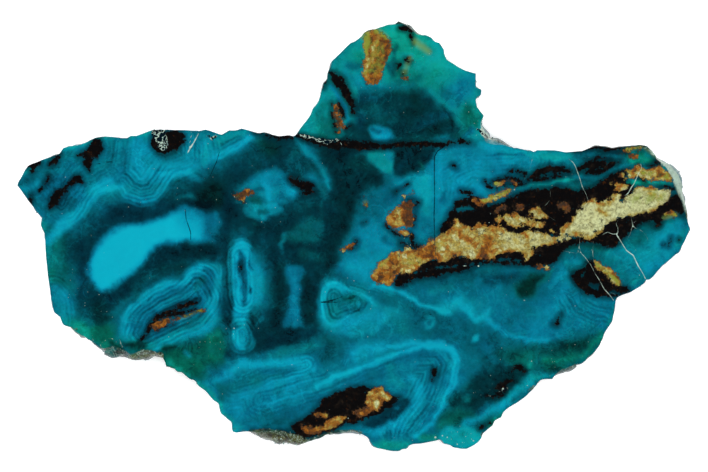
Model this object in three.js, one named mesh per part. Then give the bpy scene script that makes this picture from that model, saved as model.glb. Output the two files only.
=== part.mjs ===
// A polished slab of chrysocolla in chalcedony: one stone, sawn from a vein and lying on its sawn back.
// Millimetres, +Z up. The origin is the middle of the back face, +X runs along the slab's long side and
// +Y towards the crown, the lobe that stands up from the slab's upper side.
import * as THREE from "three";

// The slab is 101 mm long and 64.6 mm across, which its outline sets.
const THICKNESS = 6;
// The saw-cut back is a little smaller than the stone's widest section, because its lower edge has crumbled.
const BACK_CRUMBLE = 0.35;
const BACK_CRUMBLE_HEIGHT = 1.2;
// An undercut wall is back at the outline at this height.
const UNDERCUT_HEIGHT = 4.8;
// Layers of wall faces between the back and the polished face.
const WALL_LAYERS = 5;

// The broken outline of the slab at its widest section, anticlockwise from its left tip. Nearly every
// corner is where one fracture meets the next, so the stretches between them are straight.
const outline = {
  leftEnd: [
    [-50.5, 7.6], [-48.3, 4.5], [-46.8, 2.7], [-47.1, 1.7], [-46.5, 0.5], [-46.2, -3.5], [-45.5, -9.5],
    [-45, -11.5], [-44.1, -12.2],
  ],
  lowerLeftEdge: [
    [-43.6, -13.2], [-42.5, -13.8], [-41.1, -15.1], [-40, -15.5], [-38.2, -16.5], [-37.7, -17.5],
    [-36.7, -18], [-35.7, -17.9], [-32.8, -18.7], [-31.9, -18.5], [-31.1, -18.6], [-30.4, -18.3],
    [-28.8, -18.4], [-28.4, -18.9], [-28.2, -19.6], [-26.9, -20], [-26.6, -20.4], [-25.9, -20.5],
    [-24.7, -21.5], [-23.9, -21.7], [-23.4, -22.5], [-22.2, -23.4], [-21.1, -24.7], [-20.4, -25.1],
    [-20.1, -26.6], [-18.4, -27.9], [-18.4, -28.9], [-18.2, -29.4],
  ],
  lowerSide: [
    [-17.6, -29.5], [-16.1, -29.5], [-14.2, -30.5], [-12.1, -30.8], [-11.4, -31.1], [-10.2, -31],
    [-8.9, -31.2], [-8.1, -31.2], [-5.1, -30.5], [-4.2, -30.1], [-0.2, -29.7], [1.2, -30], [2.1, -30.4],
    [2.8, -31.5], [3.3, -31.8], [5.8, -32.3], [6.8, -32.3], [7.1, -32], [8, -31.8], [8.1, -31.5],
    [8.9, -31.2], [10, -31.2], [12.8, -30.6], [13.1, -30.7], [13.5, -31.2], [14.4, -31.4], [15, -31.8],
    [16.1, -32], [16.9, -32], [17.9, -31.5],
  ],
  lowerRightEdge: [
    [18.6, -31], [19.1, -30.4], [19.3, -29.7], [20.8, -28.4], [21.1, -27.7], [22.1, -27.2], [22.4, -26.5],
    [23.2, -25.8], [24.6, -25], [27.9, -21.8], [28.4, -21.6], [29.8, -21.5], [30.1, -21.1], [31.2, -20.6],
    [32.5, -20.5], [34, -19.4], [34.7, -18.8], [35.1, -18.2], [35.8, -17.7], [36.8, -16.5], [37.7, -14.5],
    [38.8, -12.7], [39.2, -11], [39.3, -9.5],
  ],
  rightEnd: [
    [39.8, -9.1], [41.5, -8.5], [43.8, -7], [43.8, -6.6], [44.3, -6.6], [44.8, -6.2], [46.5, -4.3],
    [48.8, -2.4], [50.5, 1], [50, 3.4], [49.5, 5.1], [49.2, 7.5], [48.8, 9.2], [48.2, 10], [47.3, 10.3],
    [46.3, 11], [44.7, 12.6], [43.8, 13.2], [42.7, 13.6],
  ],
  rightShoulder: [
    [41.5, 13.6], [38.8, 13.2], [36.3, 13.6], [34.2, 12.8], [31.8, 12.6], [30.2, 12.9], [27.3, 12.9],
    [27.1, 12.6], [26.6, 12.8], [24.1, 13.1], [21.6, 14.7], [20.6, 14.9],
  ],
  crown: [
    [20.6, 15.4], [19.4, 16.7], [19.2, 17.3], [19.6, 18], [18.5, 19.4], [18.3, 20.4], [18.5, 20.8],
    [19.1, 21.1], [19.2, 22], [18.3, 22.4], [18.3, 24.4], [16.6, 24.9], [14, 26.4], [13.6, 27.2],
    [13.5, 28], [12.8, 29], [12.2, 29.1], [11.7, 29.8], [10.8, 30.3], [9.8, 30.5], [8.4, 31.8],
    [6.7, 32.3], [6.1, 31.8], [5.1, 31.7], [3.1, 30.9], [2.2, 31.1], [1.7, 30.7], [1.3, 29.9],
    [0.6, 29.4], [-0.5, 29], [-3.4, 26.2], [-3.6, 25.3], [-4, 24.5], [-4.1, 23.5], [-4.6, 22.9],
    [-5.4, 20.1], [-6.2, 19.1], [-6.5, 18.3], [-8.8, 15.2],
  ],
  leftShoulder: [
    [-9, 15], [-9.8, 15.2], [-11.2, 15], [-13.5, 15.6], [-14.4, 15.5], [-16.9, 16.2], [-17.6, 15.9],
    [-18.7, 15.9], [-19.9, 15.2], [-22.3, 16], [-23.2, 15.8], [-28.2, 16], [-30.4, 15.9], [-32.6, 15.1],
    [-33.5, 15.1], [-34, 14.7], [-37.3, 15], [-38.8, 14.8], [-40.9, 13.8], [-43.6, 13.3], [-44.2, 12.4],
    [-47, 11.4], [-48.1, 10.8], [-48.8, 10.4], [-50.3, 8.3],
  ],
};

// Places where the wall leans out below the polished face, so that the broken stone shows from above.
// The polished edge steps back by shift at the middle of such a place, and by less out to its reach.
const leans = [
  { at: [48.6, 8.5], reach: 8, shift: [-1.1, -0.5] }, // the rind on the right end
  { at: [20.9, 15.2], reach: 3.4, shift: [-1, -0.9] }, // the right foot of the crown
  { at: [23, 14], reach: 2.6, shift: [-0.1, -0.4] },
  { at: [9.2, 31.3], reach: 2.4, shift: [-0.3, -0.6] }, // the top of the crown
  { at: [2.2, 31], reach: 2, shift: [0.1, -0.5] },
  { at: [-41.8, -14.6], reach: 2.2, shift: [0.3, 0.5] }, // the chipped lower left edge
  { at: [-36.4, -17.8], reach: 2.6, shift: [0.2, 2.2] },
  { at: [-31.2, -18.5], reach: 3.3, shift: [0, 1.5] },
  { at: [-12, -30.8], reach: 5.4, shift: [0, 1.6] }, // the rough belly of the lower side
  { at: [-1.5, -29.8], reach: 5, shift: [0, 0.6] },
  { at: [27, -22.7], reach: 2.4, shift: [-0.3, 0.35] }, // the lower right edge
  { at: [32.3, -20.4], reach: 2.8, shift: [-0.3, 0.9] },
];

// Places where the wall is undercut, so that the back is smaller than the polished face. The back's edge
// steps in by shift at the middle of such a place.
const undercuts = [
  { at: [-48, 4], reach: 9, shift: [1.3, 0.1] }, // the left end and side
  { at: [-46, -8], reach: 7, shift: [0.9, 0.3] },
  { at: [-22, -23.5], reach: 8, shift: [0.8, 0.7] }, // the lower side
  { at: [6, -32], reach: 6, shift: [0, 1] },
  { at: [17.5, -31], reach: 6, shift: [-0.4, 0.9] },
  { at: [38, -14], reach: 6, shift: [-1.1, 0.4] }, // the right end
  { at: [47, -4], reach: 6, shift: [-0.8, 0.8] },
  { at: [34, 13], reach: 8, shift: [0, -1] }, // the right shoulder
  { at: [17.5, 23], reach: 5, shift: [-0.9, -0.3] }, // the crown
  { at: [0, 29], reach: 6, shift: [0.4, -1] },
  { at: [-6.5, 18.5], reach: 6, shift: [1, -0.2] },
  { at: [-15, 15.5], reach: 7, shift: [0, -0.8] }, // the left shoulder
  { at: [-31, 15.5], reach: 8, shift: [0.1, -1.2] },
  { at: [-46, 11.8], reach: 5, shift: [0.5, -0.9] },
];

// How far an edge steps back from a point of the outline, given the places where it does.
function stepBack(places, x, y) {
  const step = new THREE.Vector2();
  for (const { at, reach, shift } of places) {
    const away = Math.hypot(x - at[0], y - at[1]) / reach;
    if (away < 1) {
      const share = 0.5 * (1 + Math.cos(Math.PI * away));
      step.x += share * shift[0];
      step.y += share * shift[1];
    }
  }
  return step;
}

// The outward direction at each corner of a closed anticlockwise outline.
function outwardNormals(points) {
  return points.map((_, i) => {
    const before = points[(i + points.length - 1) % points.length];
    const after = points[(i + 1) % points.length];
    return new THREE.Vector2(after.y - before.y, before.x - after.x).normalize();
  });
}

// Shapes a straight-sided prism's wall. It steps in at the crumbled lower edge and where it is undercut,
// and in towards the polished edge where it leans.
function breakWall(geometry, points) {
  const key = (x, y) => `${x.toFixed(3)} ${y.toFixed(3)}`;
  const normals = outwardNormals(points);
  const corner = new Map(points.map((point, i) => [key(point.x, point.y), i]));
  const place = geometry.getAttribute("position");
  for (let v = 0; v < place.count; v++) {
    const [x, y, z] = [place.getX(v), place.getY(v), place.getZ(v)];
    const normal = normals[corner.get(key(x, y))];
    const crumble = BACK_CRUMBLE * Math.max(0, 1 - z / BACK_CRUMBLE_HEIGHT);
    const rise = THREE.MathUtils.smoothstep(z, BACK_CRUMBLE_HEIGHT, THICKNESS);
    const fall = 1 - THREE.MathUtils.smoothstep(z, 0, UNDERCUT_HEIGHT);
    const step = stepBack(leans, x, y).multiplyScalar(rise);
    step.addScaledVector(stepBack(undercuts, x, y), fall);
    place.setXYZ(v, x - crumble * normal.x + step.x, y - crumble * normal.y + step.y, z);
  }
  return geometry;
}

function makeSlab() {
  const points = Object.values(outline).flat().map(([x, y]) => new THREE.Vector2(x, y));
  const prism = new THREE.ExtrudeGeometry(new THREE.Shape(points), {
    depth: THICKNESS,
    steps: WALL_LAYERS,
    bevelEnabled: false,
  });
  const stone = new THREE.MeshStandardMaterial({ color: 0x0a7a90, roughness: 0.15, metalness: 0 });
  const slab = new THREE.Mesh(breakWall(prism, points), stone);
  slab.name = "slab";
  return slab;
}

const specimen = new THREE.Group();
specimen.name = "chrysocolla_slab";
specimen.add(makeSlab());

export default specimen;
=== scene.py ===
"""A thin slab of chrysocolla, sawn across a vein and polished on its upper face.

The slab lies on its sawn back. Its polished face shows teal and blue bands round darker pools, black
manganese stringers, a cream and rust wedge of host rock and the white hair cracks that cross it. The
outline and the lean of the broken walls come from the frame. Lengths are in millimetres until a mesh is
made, and in metres from there on.
"""

import itertools
import math

import bpy
import numpy as np
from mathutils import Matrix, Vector, geometry, kdtree


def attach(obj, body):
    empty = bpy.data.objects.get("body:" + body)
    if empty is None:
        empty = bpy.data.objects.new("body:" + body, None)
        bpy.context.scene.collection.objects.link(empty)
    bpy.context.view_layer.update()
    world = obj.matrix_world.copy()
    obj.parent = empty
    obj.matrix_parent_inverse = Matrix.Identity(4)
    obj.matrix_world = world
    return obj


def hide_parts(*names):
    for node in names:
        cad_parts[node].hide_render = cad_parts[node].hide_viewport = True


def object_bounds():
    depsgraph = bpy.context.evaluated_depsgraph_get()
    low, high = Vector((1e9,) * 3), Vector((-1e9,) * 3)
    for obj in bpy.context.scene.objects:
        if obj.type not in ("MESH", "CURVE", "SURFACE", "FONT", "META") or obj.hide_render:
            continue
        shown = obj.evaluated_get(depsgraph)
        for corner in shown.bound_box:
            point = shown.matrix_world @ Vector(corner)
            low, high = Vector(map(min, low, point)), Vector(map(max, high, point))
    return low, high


bl_info = {
    "name": "Polished Chrysocolla Slab",
    "version": (1, 0, 0),
    "blender": (4, 5, 0),
    "location": "View3D > Sidebar > Slab",
    "description": "Makes a sawn and polished chrysocolla slab on a pale floor",
    "category": "Add Mesh",
}

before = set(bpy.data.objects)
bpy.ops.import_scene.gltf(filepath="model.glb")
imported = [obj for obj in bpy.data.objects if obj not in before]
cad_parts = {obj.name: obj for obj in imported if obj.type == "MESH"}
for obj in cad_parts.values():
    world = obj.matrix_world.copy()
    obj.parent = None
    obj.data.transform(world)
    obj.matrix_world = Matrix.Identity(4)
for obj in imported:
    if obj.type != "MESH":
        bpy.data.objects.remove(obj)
cad_low, cad_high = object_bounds()

MM = 0.001
STONE_NODE = "slab"
BODY = "root"
STUDIO_GAIN = 1.38  # how much brighter the lit floor and stone look than their own colours
FACE_REACH = 2.0  # how far, in mm, a mineral's distance is worked out beyond its edge
GUIDE_REACH = 9.0  # the same for the lines that the fine bands follow
CRACK_REACH = 1.0  # and for hair cracks
# The bright dots are white grains, and some of them are painted glints of light.
DOT_GROWTH = 0.08  # how much larger, in mm, a single bright grain shows than its entry
PLAIN_TONE = 0.42  # the stone where no wash covers it
PLAIN_GREEN = 0.25
PLAIN_STAIN = 0.35
PLAIN_SPECKS = 0.06
FINE_BAND = 0.62  # from one fine band to the next, in mm
BROAD_BAND = 1.45  # the same for the broader bands that they sit on
PATTERN_LEAN = (0.22, -0.16)  # how far the pattern moves sideways for each mm below the face
SHARP_ANGLE = math.radians(48)  # edges sharper than this are not smoothed
CRYSTAL_SEED = 5
CRYSTAL_SLIMNESS = 1.3  # a crystal's length over its width
FLOOR_DROP = 0.1 * MM  # keeps the floor clear of the sawn back
SENSOR_WIDTH = 36.0  # of the camera, in mm


def seen(red, green, blue):
    """The own colour, in linear light, of a surface that looks like this 0-255 colour in the studio."""
    parts = (red / 255, green / 255, blue / 255)
    linear = [c / 12.92 if c <= 0.04045 else ((c + 0.055) / 1.055) ** 2.4 for c in parts]
    return tuple(c / STUDIO_GAIN for c in linear)


# ---------------------------------------------------------------- sizes and colours a user may change


def size(name, description, default):
    """A length in metres."""
    return bpy.props.FloatProperty(name=name, description=description, default=default, unit="LENGTH")


def amount(name, description, default, high=1.0):
    """A plain number from 0 to high."""
    return bpy.props.FloatProperty(name=name, description=description, default=default, min=0.0, max=high)


def tint(name, description, default):
    """A colour property in linear light."""
    return bpy.props.FloatVectorProperty(
        name=name, description=description, default=default, subtype="COLOR", size=3, min=0.0, max=1.0
    )


class SlabSizes(bpy.types.PropertyGroup):
    """Sizes of the slab's mesh and of its broken edge."""

    face_step: size("Face Step", "Distance between the points of the polished face", 0.3 * MM)
    back_step: size("Back Step", "Distance between the points of the sawn back", 0.62 * MM)
    edge_step: size("Edge Step", "Distance between points along the outline", 0.32 * MM)
    wall_rows: bpy.props.IntProperty(
        name="Wall Rows", description="Rows of points up the broken wall", default=17, min=6
    )
    wall_roughness: size("Wall Roughness", "How far the broken wall's lumps stand", 0.42 * MM)
    arris_wear: size("Arris Wear", "How far the polished face's edge is nicked", 0.13 * MM)
    pit_depth: size("Pit Depth", "How far the soft host rock sinks below the polish", 0.09 * MM)
    crack_depth: size("Crack Depth", "Depth of the hair cracks", 0.07 * MM)
    crystal_width: size("Crystal Width", "Width of a common quartz crystal", 0.2 * MM)
    crystal_density: amount("Crystal Density", "Crystals to a square millimetre where they grow", 4.0, 100.0)


class StoneColours(bpy.types.PropertyGroup):
    """Colours of the minerals in the slab."""

    blue_black: tint("Blue Black", "Deepest blue", seen(1, 20, 30))
    deep_blue: tint("Deep Blue", "Clear dark blue of the pools' rims", seen(1, 56, 72))
    mid_blue: tint("Mid Blue", "Middle blue of the banding", seen(2, 104, 132))
    light_blue: tint("Light Blue", "Light blue of the bands", seen(2, 143, 173))
    bright_blue: tint("Bright Blue", "Brightest cyan of the pool", seen(6, 184, 209))
    green_black: tint("Green Black", "Deepest green", seen(2, 20, 20))
    deep_green: tint("Deep Green", "Dark malachite green", seen(1, 52, 46))
    mid_green: tint("Mid Green", "Middle green", seen(2, 105, 88))
    light_green: tint("Light Green", "Light green of the thin edges", seen(6, 150, 132))
    bright_green: tint("Bright Green", "Brightest green", seen(12, 188, 170))
    manganese: tint("Manganese", "Black stringers", seen(10, 9, 10))
    brown_black: tint("Brown Black", "Brown tinge in the black", seen(46, 37, 28))
    olive: tint("Olive", "Shade between the host rock's grains", seen(92, 88, 30))
    moss: tint("Moss", "Yellow green stain", seen(132, 150, 44))
    rust: tint("Rust", "Dark iron stain", seen(104, 54, 2))
    ochre: tint("Ochre", "Orange iron stain", seen(168, 100, 2))
    straw: tint("Straw", "Yellow stained host rock", seen(182, 166, 76))
    cream: tint("Cream", "Clean host rock", seen(218, 226, 170))
    # Pale also colours the painted glints among the bright dots.
    pale: tint("Pale", "White quartz in cracks and vugs", seen(196, 224, 206))
    rind: tint("Rind", "Grey green weathered rind", seen(20, 90, 64))


class StageSettings(bpy.types.PropertyGroup):
    """The floor, the lights and the camera."""

    floor_side: size("Floor Side", "Side of the square floor", 3.0)
    floor_tint: tint("Floor Tint", "Own colour of the floor", (0.93, 0.93, 0.93))
    floor_glow: amount("Floor Glow", "Light that the floor gives off, as a light table does", 0.35, 10.0)
    lens: bpy.props.FloatProperty(
        name="Lens", description="Focal length in millimetres", default=100.0, min=20.0, unit="CAMERA"
    )
    overhead_power: amount("Overhead Power", "Watts of the wide light overhead", 16.5, 1000.0)
    side_power: amount("Side Power", "Watts of the larger softbox", 6.0, 1000.0)
    view_width: size("View Width", "Width of the polished face's plane that the view takes in", 106.2 * MM)


# ------------------------------------------------------------------------------- noise and distances


def lumps(places, width, seed, octaves=3):
    """Smooth noise from -1 to 1 at places in mm; the largest lumps are about width mm across."""
    draw = np.random.default_rng(seed)
    values = draw.uniform(-1, 1, 4096)
    order = draw.permutation(4096)
    total = np.zeros(len(places))
    reach = 0.0
    for octave in range(octaves):
        spot = places / (width / 2**octave) + 31.7 * octave
        cell = np.floor(spot).astype(np.int64)
        part = spot - cell
        part = part * part * (3 - 2 * part)
        weight = 0.5**octave
        reach += weight
        for corner in itertools.product((0, 1), repeat=places.shape[1]):
            key = np.zeros(len(places), dtype=np.int64)
            share = np.full(len(places), weight)
            for axis, side in enumerate(corner):
                key = order[(key + cell[:, axis] + side) & 4095]
                share = share * (part[:, axis] if side else 1 - part[:, axis])
            total += values[key] * share
    return total / reach


def rounded(points):
    """A closed outline with its corners cut, so that a few given points make a soft shape."""
    points = np.array(points, dtype=float)
    for _ in range(2):
        ahead = np.roll(points, -1, axis=0)
        points = np.stack([points * 0.75 + ahead * 0.25, points * 0.25 + ahead * 0.75], axis=1)
        points = points.reshape(-1, 2)
    return points


def edge_distance(places, start, end):
    """Distance from places to the line from start to end, and how far along it the nearest point is."""
    run = end - start
    along = np.clip(((places - start) @ run) / max(run @ run, 1e-12), 0, 1)
    gap = places - start - along[:, None] * run
    return np.sqrt(np.einsum("ij,ij->i", gap, gap)), along


def outline_distance(places, points):
    """Signed distance in mm from places to a closed outline, below 0 inside it."""
    nearest = np.full(len(places), 1e3)
    inside = np.zeros(len(places), dtype=bool)
    for start, end in zip(points, np.roll(points, -1, axis=0)):
        nearest = np.minimum(nearest, edge_distance(places, start, end)[0])
        crosses = (start[1] > places[:, 1]) != (end[1] > places[:, 1])
        rise = end[1] - start[1] if end[1] != start[1] else 1e-9
        crossing = start[0] + (places[:, 1] - start[1]) * (end[0] - start[0]) / rise
        inside ^= crosses & (places[:, 0] < crossing)
    return np.where(inside, -nearest, nearest)


def chain_distance(places, points):
    """Signed distance in mm to a string of blobs (x, y, radius) and the tapers that join them."""
    points = np.array(points, dtype=float)
    if len(points) == 1:
        points = np.repeat(points, 2, axis=0)
    nearest = np.full(len(places), 1e3)
    for start, end in zip(points[:-1], points[1:]):
        gap, along = edge_distance(places, start[:2], end[:2])
        nearest = np.minimum(nearest, gap - start[2] - (end[2] - start[2]) * along)
    return nearest


def distance(places, points, reach):
    """Signed distance in mm to one listed shape, worked out only within reach of it.

    Points of two numbers are the corners of a patch, and points of three are a chain of blobs.
    """
    spots = np.array(points, dtype=float)
    margin = reach + (spots[:, 2].max() if spots.shape[1] == 3 else 0)
    low = spots[:, :2].min(axis=0) - margin
    high = spots[:, :2].max(axis=0) + margin
    near = np.all((places > low) & (places < high), axis=1)
    result = np.full(len(places), float(reach))
    if near.any() and spots.shape[1] == 3:
        result[near] = np.minimum(chain_distance(places[near], spots), reach)
    elif near.any():
        result[near] = np.minimum(outline_distance(places[near], rounded(spots)), reach)
    return result


def ramp(value, low, high):
    """0 at low and 1 at high, with eased ends."""
    part = np.clip((value - low) / (high - low), 0, 1)
    return part * part * (3 - 2 * part)


# ------------------------------------------------------------------------- the pattern, in millimetres
#
# A shape is a list of points: (x, y) for the corners of a patch, or (x, y, radius) for a chain of blobs.
# A row gives its numbers first and then one shape or more. Each wash is (tone, green, blur, shape). Tone
# runs from 0, nearly black, to 1, bright; green from 0, blue, to 1, green. Later washes lie over earlier
# ones.

SHOULDER_WASHES = (
    (0.5, 0.22, 2, [(-52, 4), (-44, 1), (-38, 6), (-33, 5), (-28, 8), (-24, 8), (-16, 17), (-52, 17)]),
    (0.62, 0.1, 1.2, [(-34, 8), (-34.2, 14), (-31, 15.5), (-29.8, 12), (-27, 11), (-24, 14), (-20.5, 14),
     (-20.5, 10), (-30, 8)]),
    (0.4, 0, 1.2, [(-45.5, 9.6), (-42, 9.6), (-40.5, 7.5), (-42.5, 4.5), (-46, 4.6), (-47.4, 7)]),
    (0.42, 0, 0.8, [(-43.6, 12.8, 0.7)]), (0.6, 0.35, 0.6, [(-44, 11.9, 0.5), (-42, 12.3, 0.8)]),
    (0.52, 0, 0.8, [(-41, 6.6, 1.2)]), (0.74, 0, 0.8, [(-32.6, 13.5, 0.8), (-32, 9.6, 1)]),
    (0.7, 0.1, 0.6, [(-30.9, 11.5, 0.5), (-30.5, 9, 0.5)]),
    (0.52, 0.1, 0.8, [(-35.2, 10, 0.6), (-34.6, 8, 0.5)]),
    (0.72, 0.05, 0.5, [(-36.4, 8.2, 0.7), (-38, 7.6, 0.6), (-34.6, 7.4, 0.3)]),
    (0.7, 0.1, 0.5, [(-29, 10.8, 0.4), (-26, 10.2, 0.5), (-24.4, 10.8, 0.4)]),
    (0.4, 0.05, 0.35, [(-29.2, 9.85, 0.12), (-25.4, 9.9, 0.12)]),
    (0.8, 0.1, 0.5, [(-29, 9.4, 0.35), (-24.8, 9.6, 0.55), (-23.3, 8.2, 0.3)]),
    (0.36, 0.3, 0.8, [(-27, 8.2, 0.5), (-25.4, 8.2, 0.5)]),
    (0.78, 0.08, 0.7, [(-46, -0.6, 0.9), (-40, 4.9, 0.8), (-38.6, 6.8, 0.7), (-37, 7.3, 0.7),
     (-35.4, 7.1, 0.4)]),
    (0.8, 0.08, 0.5, [(-34.8, 7.2, 0.3), (-34.1, 6, 0.45), (-32.8, 5.5, 0.4), (-31.2, 5.3, 0.4),
     (-29.8, 5.8, 0.45), (-28.2, 8, 0.45), (-27, 9.1, 0.3)]),
    (0.68, 0.35, 0.7, [(-22, 13.2, 0.5), (-22.4, 10.8, 0.5)]),
    (0.62, 0.3, 0.4, [(-21.1, 11.4, 0.2), (-20.5, 10.6, 0.4), (-19.9, 10.2, 0.35)]),
    (0.78, 0.1, 0.4, [(-20.9, 11.9, 0.35), (-20.1, 12.1, 0.35)]),
    (0.82, 0.05, 0.5, [(-20.3, 12.2, 0.4), (-18, 13, 0.5), (-15.4, 14.9, 0.5)]),
    (0.7, 0.45, 0.6, [(-20.4, 14.4, 0.5), (-16.4, 15.7, 0.4)]),
    (0.78, 0.5, 0.5, [(-50, 9, 0.5), (-47, 11.4, 0.35), (-45.7, 11.7, 0.3)]),
    (0.8, 0.5, 0.5, [(-43.5, 13.5, 0.5), (-40.5, 13.8, 0.4), (-38.2, 14.8, 0.4), (-36.4, 14.9, 0.3)]),
    (0.74, 0.55, 0.6, [(-33.4, 14.9, 0.4), (-31.5, 15.4, 0.6), (-30.3, 15.9, 0.4)]),
    (0.55, 0.2, 0.6, [(-36, 11, 0.4), (-35.2, 13.8, 0.4)]),
    (0.7, 0.1, 0.6, [(-50, 7, 0.2), (-47.7, 7.5, 0.6)]),
)

POOL_WASHES = (
    (0.17, 0.25, 2.2, [(-43.5, -1), (-36.4, 4.6), (-30, 4.4), (-27.5, 6.8), (-16, 12), (-13, 15),
     (-9.4, 14.8), (-11, 9), (-17, 7), (-20, -4), (-25, -4.4), (-31, -7.4), (-36, -12.4), (-40.5, -12.6),
     (-43.4, -5)]),
    (0.05, 0.8, 1.4, [(-23.8, 7), (-19.6, 8.6), (-19.3, 5), (-20.5, 4.2), (-23.2, 4.8)]),
    (0.09, 0, 1.2, [(-35.8, 3.4, 0.9), (-29.6, 3.6, 0.5), (-29, 4.4, 0.4)]),
    (0.12, 0.75, 1.2, [(-12.5, 13, 1.2), (-13.6, 13.6, 0.7)]),
    (0.2, 0.25, 1.2, [(-17.5, 10.6, 0.8), (-14.6, 11.8, 0.8)]),
    (0.1, 0, 1.2, [(-19, 6, 0.3), (-18.8, 2, 0.9), (-19.3, -3.4, 0.4)]),
    (0.06, 0.1, 1, [(-18, 3.6, 0.9), (-17.4, 2, 0.5)]),
    (0.07, 0.3, 1, [(-28.6, -2.6, 0.9), (-21, -2.2, 0.7)]),
    (0.16, 0.5, 1, [(-29, -4.6, 0.5), (-25.6, -4.4, 0.4)]),
    (0.3, 0.35, 0.8, [(-33.2, -7.8, 0.4), (-29.6, -5.9, 0.5)]),
    (0.09, 0.1, 1, [(-36.6, -9.4, 0.7), (-34.2, -8.2, 0.6)]),
    (0.09, 0.6, 1.2, [(-38.6, -10.6, 1), (-38.2, -12, 0.7)]),
    (0.1, 0, 0.8, [(-41, -1, 0.4), (-40.6, -8.6, 0.5)]),
    (0.56, 0.45, 1, [(-26.6, 5.6, 0.1), (-24.4, 5.9, 0.4)]),
    (0.925, 0, 0.85, [(-39.9, -4.3), (-38.7, -1.6), (-36, 1), (-34, 1.7), (-30, 2.1), (-25.5, 4.4),
     (-22, 3.2), (-20.2, 3.3), (-20.8, -0.5), (-22, -0.9), (-24.5, -0.6), (-26, -1), (-29.3, -0.9),
     (-33, -5.6), (-38, -9.1), (-39.9, -5.8)]),
    (0.6, 0, 1.6, [(-22.2, 3.4), (-20.2, 3.6), (-20.6, -0.8), (-21.8, -0.8)]),
    (0.7, 0, 1, [(-23.5, 3.3, 0.4), (-26, 4.1, 0.2)]),
    (0.3, 0, 0.7, [(-26.2, -1.6, 0.1), (-25.9, -2.5, 0.1)]),
)

LEFT_EDGE_WASHES = (
    (0.42, 0.65, 1, [(-47.5, 3), (-44, 1), (-43.6, -6), (-46.8, -6)]),
    (0.66, 0.45, 1, [(-46.6, 1.8, 0.6), (-46, -1.5, 0.9), (-45.8, -4.5, 0.5)]),
    (0.72, 0.7, 0.5, [(-47.2, 2.8, 0.3), (-46.6, 1, 0.3)]),
    (0.24, 0.85, 1, [(-43.4, -0.6, 0.5), (-43.2, -5.4, 0.5)]),
    (0.5, 0.75, 0.8, [(-45.3, -5.6, 0.5), (-45, -7, 0.5)]),
    (0.32, 0.7, 0.8, [(-44, -6.8, 0.6), (-41, -7.2, 0.6)]),
    (0.56, 0.15, 0.7, [(-45.6, -7.6), (-43.8, -7.8), (-42.4, -9), (-41.7, -11), (-41.9, -12.6),
     (-43.4, -13), (-45.2, -11.8)]),
    (0.66, 0.05, 0.5, [(-43.4, -8.6, 0.4), (-42.5, -10, 0.4), (-42.2, -11.4, 0.4)]),
    (0.62, 0.6, 0.8, [(-44.4, -12.2), (-39.3, -13), (-39, -15.6), (-41, -15.4), (-43.4, -13.6)]),
    (0.74, 0.7, 0.6, [(-41.5, -13.9, 0.4), (-40, -14.7, 0.6)]),
    (0.38, 0.95, 0.8, [(-39, -12.6), (-36.6, -12.6), (-35.8, -14.6), (-36.8, -15.6), (-38.4, -16.2),
     (-39.2, -15)]),
    (0.26, 0.7, 0.7, [(-38, -12.6, 0.8), (-36.6, -12, 0.5)]),
    (0.56, 0.9, 0.4, [(-37.4, -16.6, 0.7), (-36.8, -17.6, 0.5)]),
    (0.22, 0.7, 0.4, [(-36.4, -16, 0.35), (-35.6, -16.4, 0.4), (-35, -17.4, 0.4)]),
    (0.62, 0.35, 0.4, [(-36, -17.2, 0.4)]),
)

EYE_WASHES = (
    (0.66, 0.15, 0.7, [(-35.2, -14), (-35.2, -12.5), (-34.3, -10.9), (-30.5, -7.7), (-27.5, -6.4),
     (-26, -6.5), (-24.2, -4.5), (-23, -3.9), (-20.2, -3.9), (-19.3, -5), (-19.2, -6.5), (-20.2, -9.5),
     (-20, -12.5), (-20.8, -13.9), (-22.3, -14.7), (-28.5, -16.5), (-29.7, -17.3), (-33.5, -16.2),
     (-34.8, -15.3)]),
    (0.47, 0.05, 0.5, [(-34, -13.4), (-33.2, -11.5), (-31.4, -9.8), (-29, -8.2), (-27, -7.6), (-25.4, -7.5),
     (-24.2, -6), (-22.8, -5.2), (-21.4, -5), (-20.7, -5.8), (-21, -7.6), (-21.9, -9.2), (-22.3, -12.6),
     (-31, -15.9), (-33, -15.8)]),
    (0.76, 0.1, 0.4, [(-34.4, -12.9, 0.3), (-33.5, -11, 0.35), (-31.2, -9.1, 0.4), (-28.8, -7.5, 0.4),
     (-25.3, -6.8, 0.35), (-24.4, -5.5, 0.35), (-23, -4.8, 0.35)]),
    (0.72, 0.1, 0.4, [(-20.2, -5.4, 0.3), (-20.3, -7, 0.35), (-21, -8.8, 0.35), (-21.3, -10.6, 0.3),
     (-21.2, -12, 0.35), (-21.9, -13.3, 0.35)]),
    (0.74, 0.1, 0.5, [(-22.4, -13.7, 0.4), (-28, -15.6, 0.4)]),
    (0.3, 0, 0.5, [(-31.4, -13.6, 0.4), (-29.6, -11.4, 0.4), (-23.4, -9.2, 0.3)]),
    (0.56, 0.15, 0.5, [(-29.8, -10.6, 0.3), (-27, -9.3, 0.3), (-25, -8.9, 0.3)]),
    (0.58, 0.1, 0.4, [(-28.6, -13.9, 0.3), (-23.4, -12.6, 0.3)]),
    (0.4, 0.35, 0.5, [(-23, -6.8, 0.6), (-24, -7.8, 0.4)]),
    (0.48, 0.35, 0.7, [(-36, -11.6, 0.3), (-32.8, -8.8, 0.4)]),
    (0.24, 0.2, 0.5, [(-34.4, -16.4, 0.4), (-32.4, -16.5, 0.5), (-31.4, -16.4, 0.3)]),
    (0.8, 0.1, 0.25, [(-30, -17.1, 0.2), (-29.3, -16.8, 0.3), (-29, -16.5, 0.1)]),
)

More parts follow.
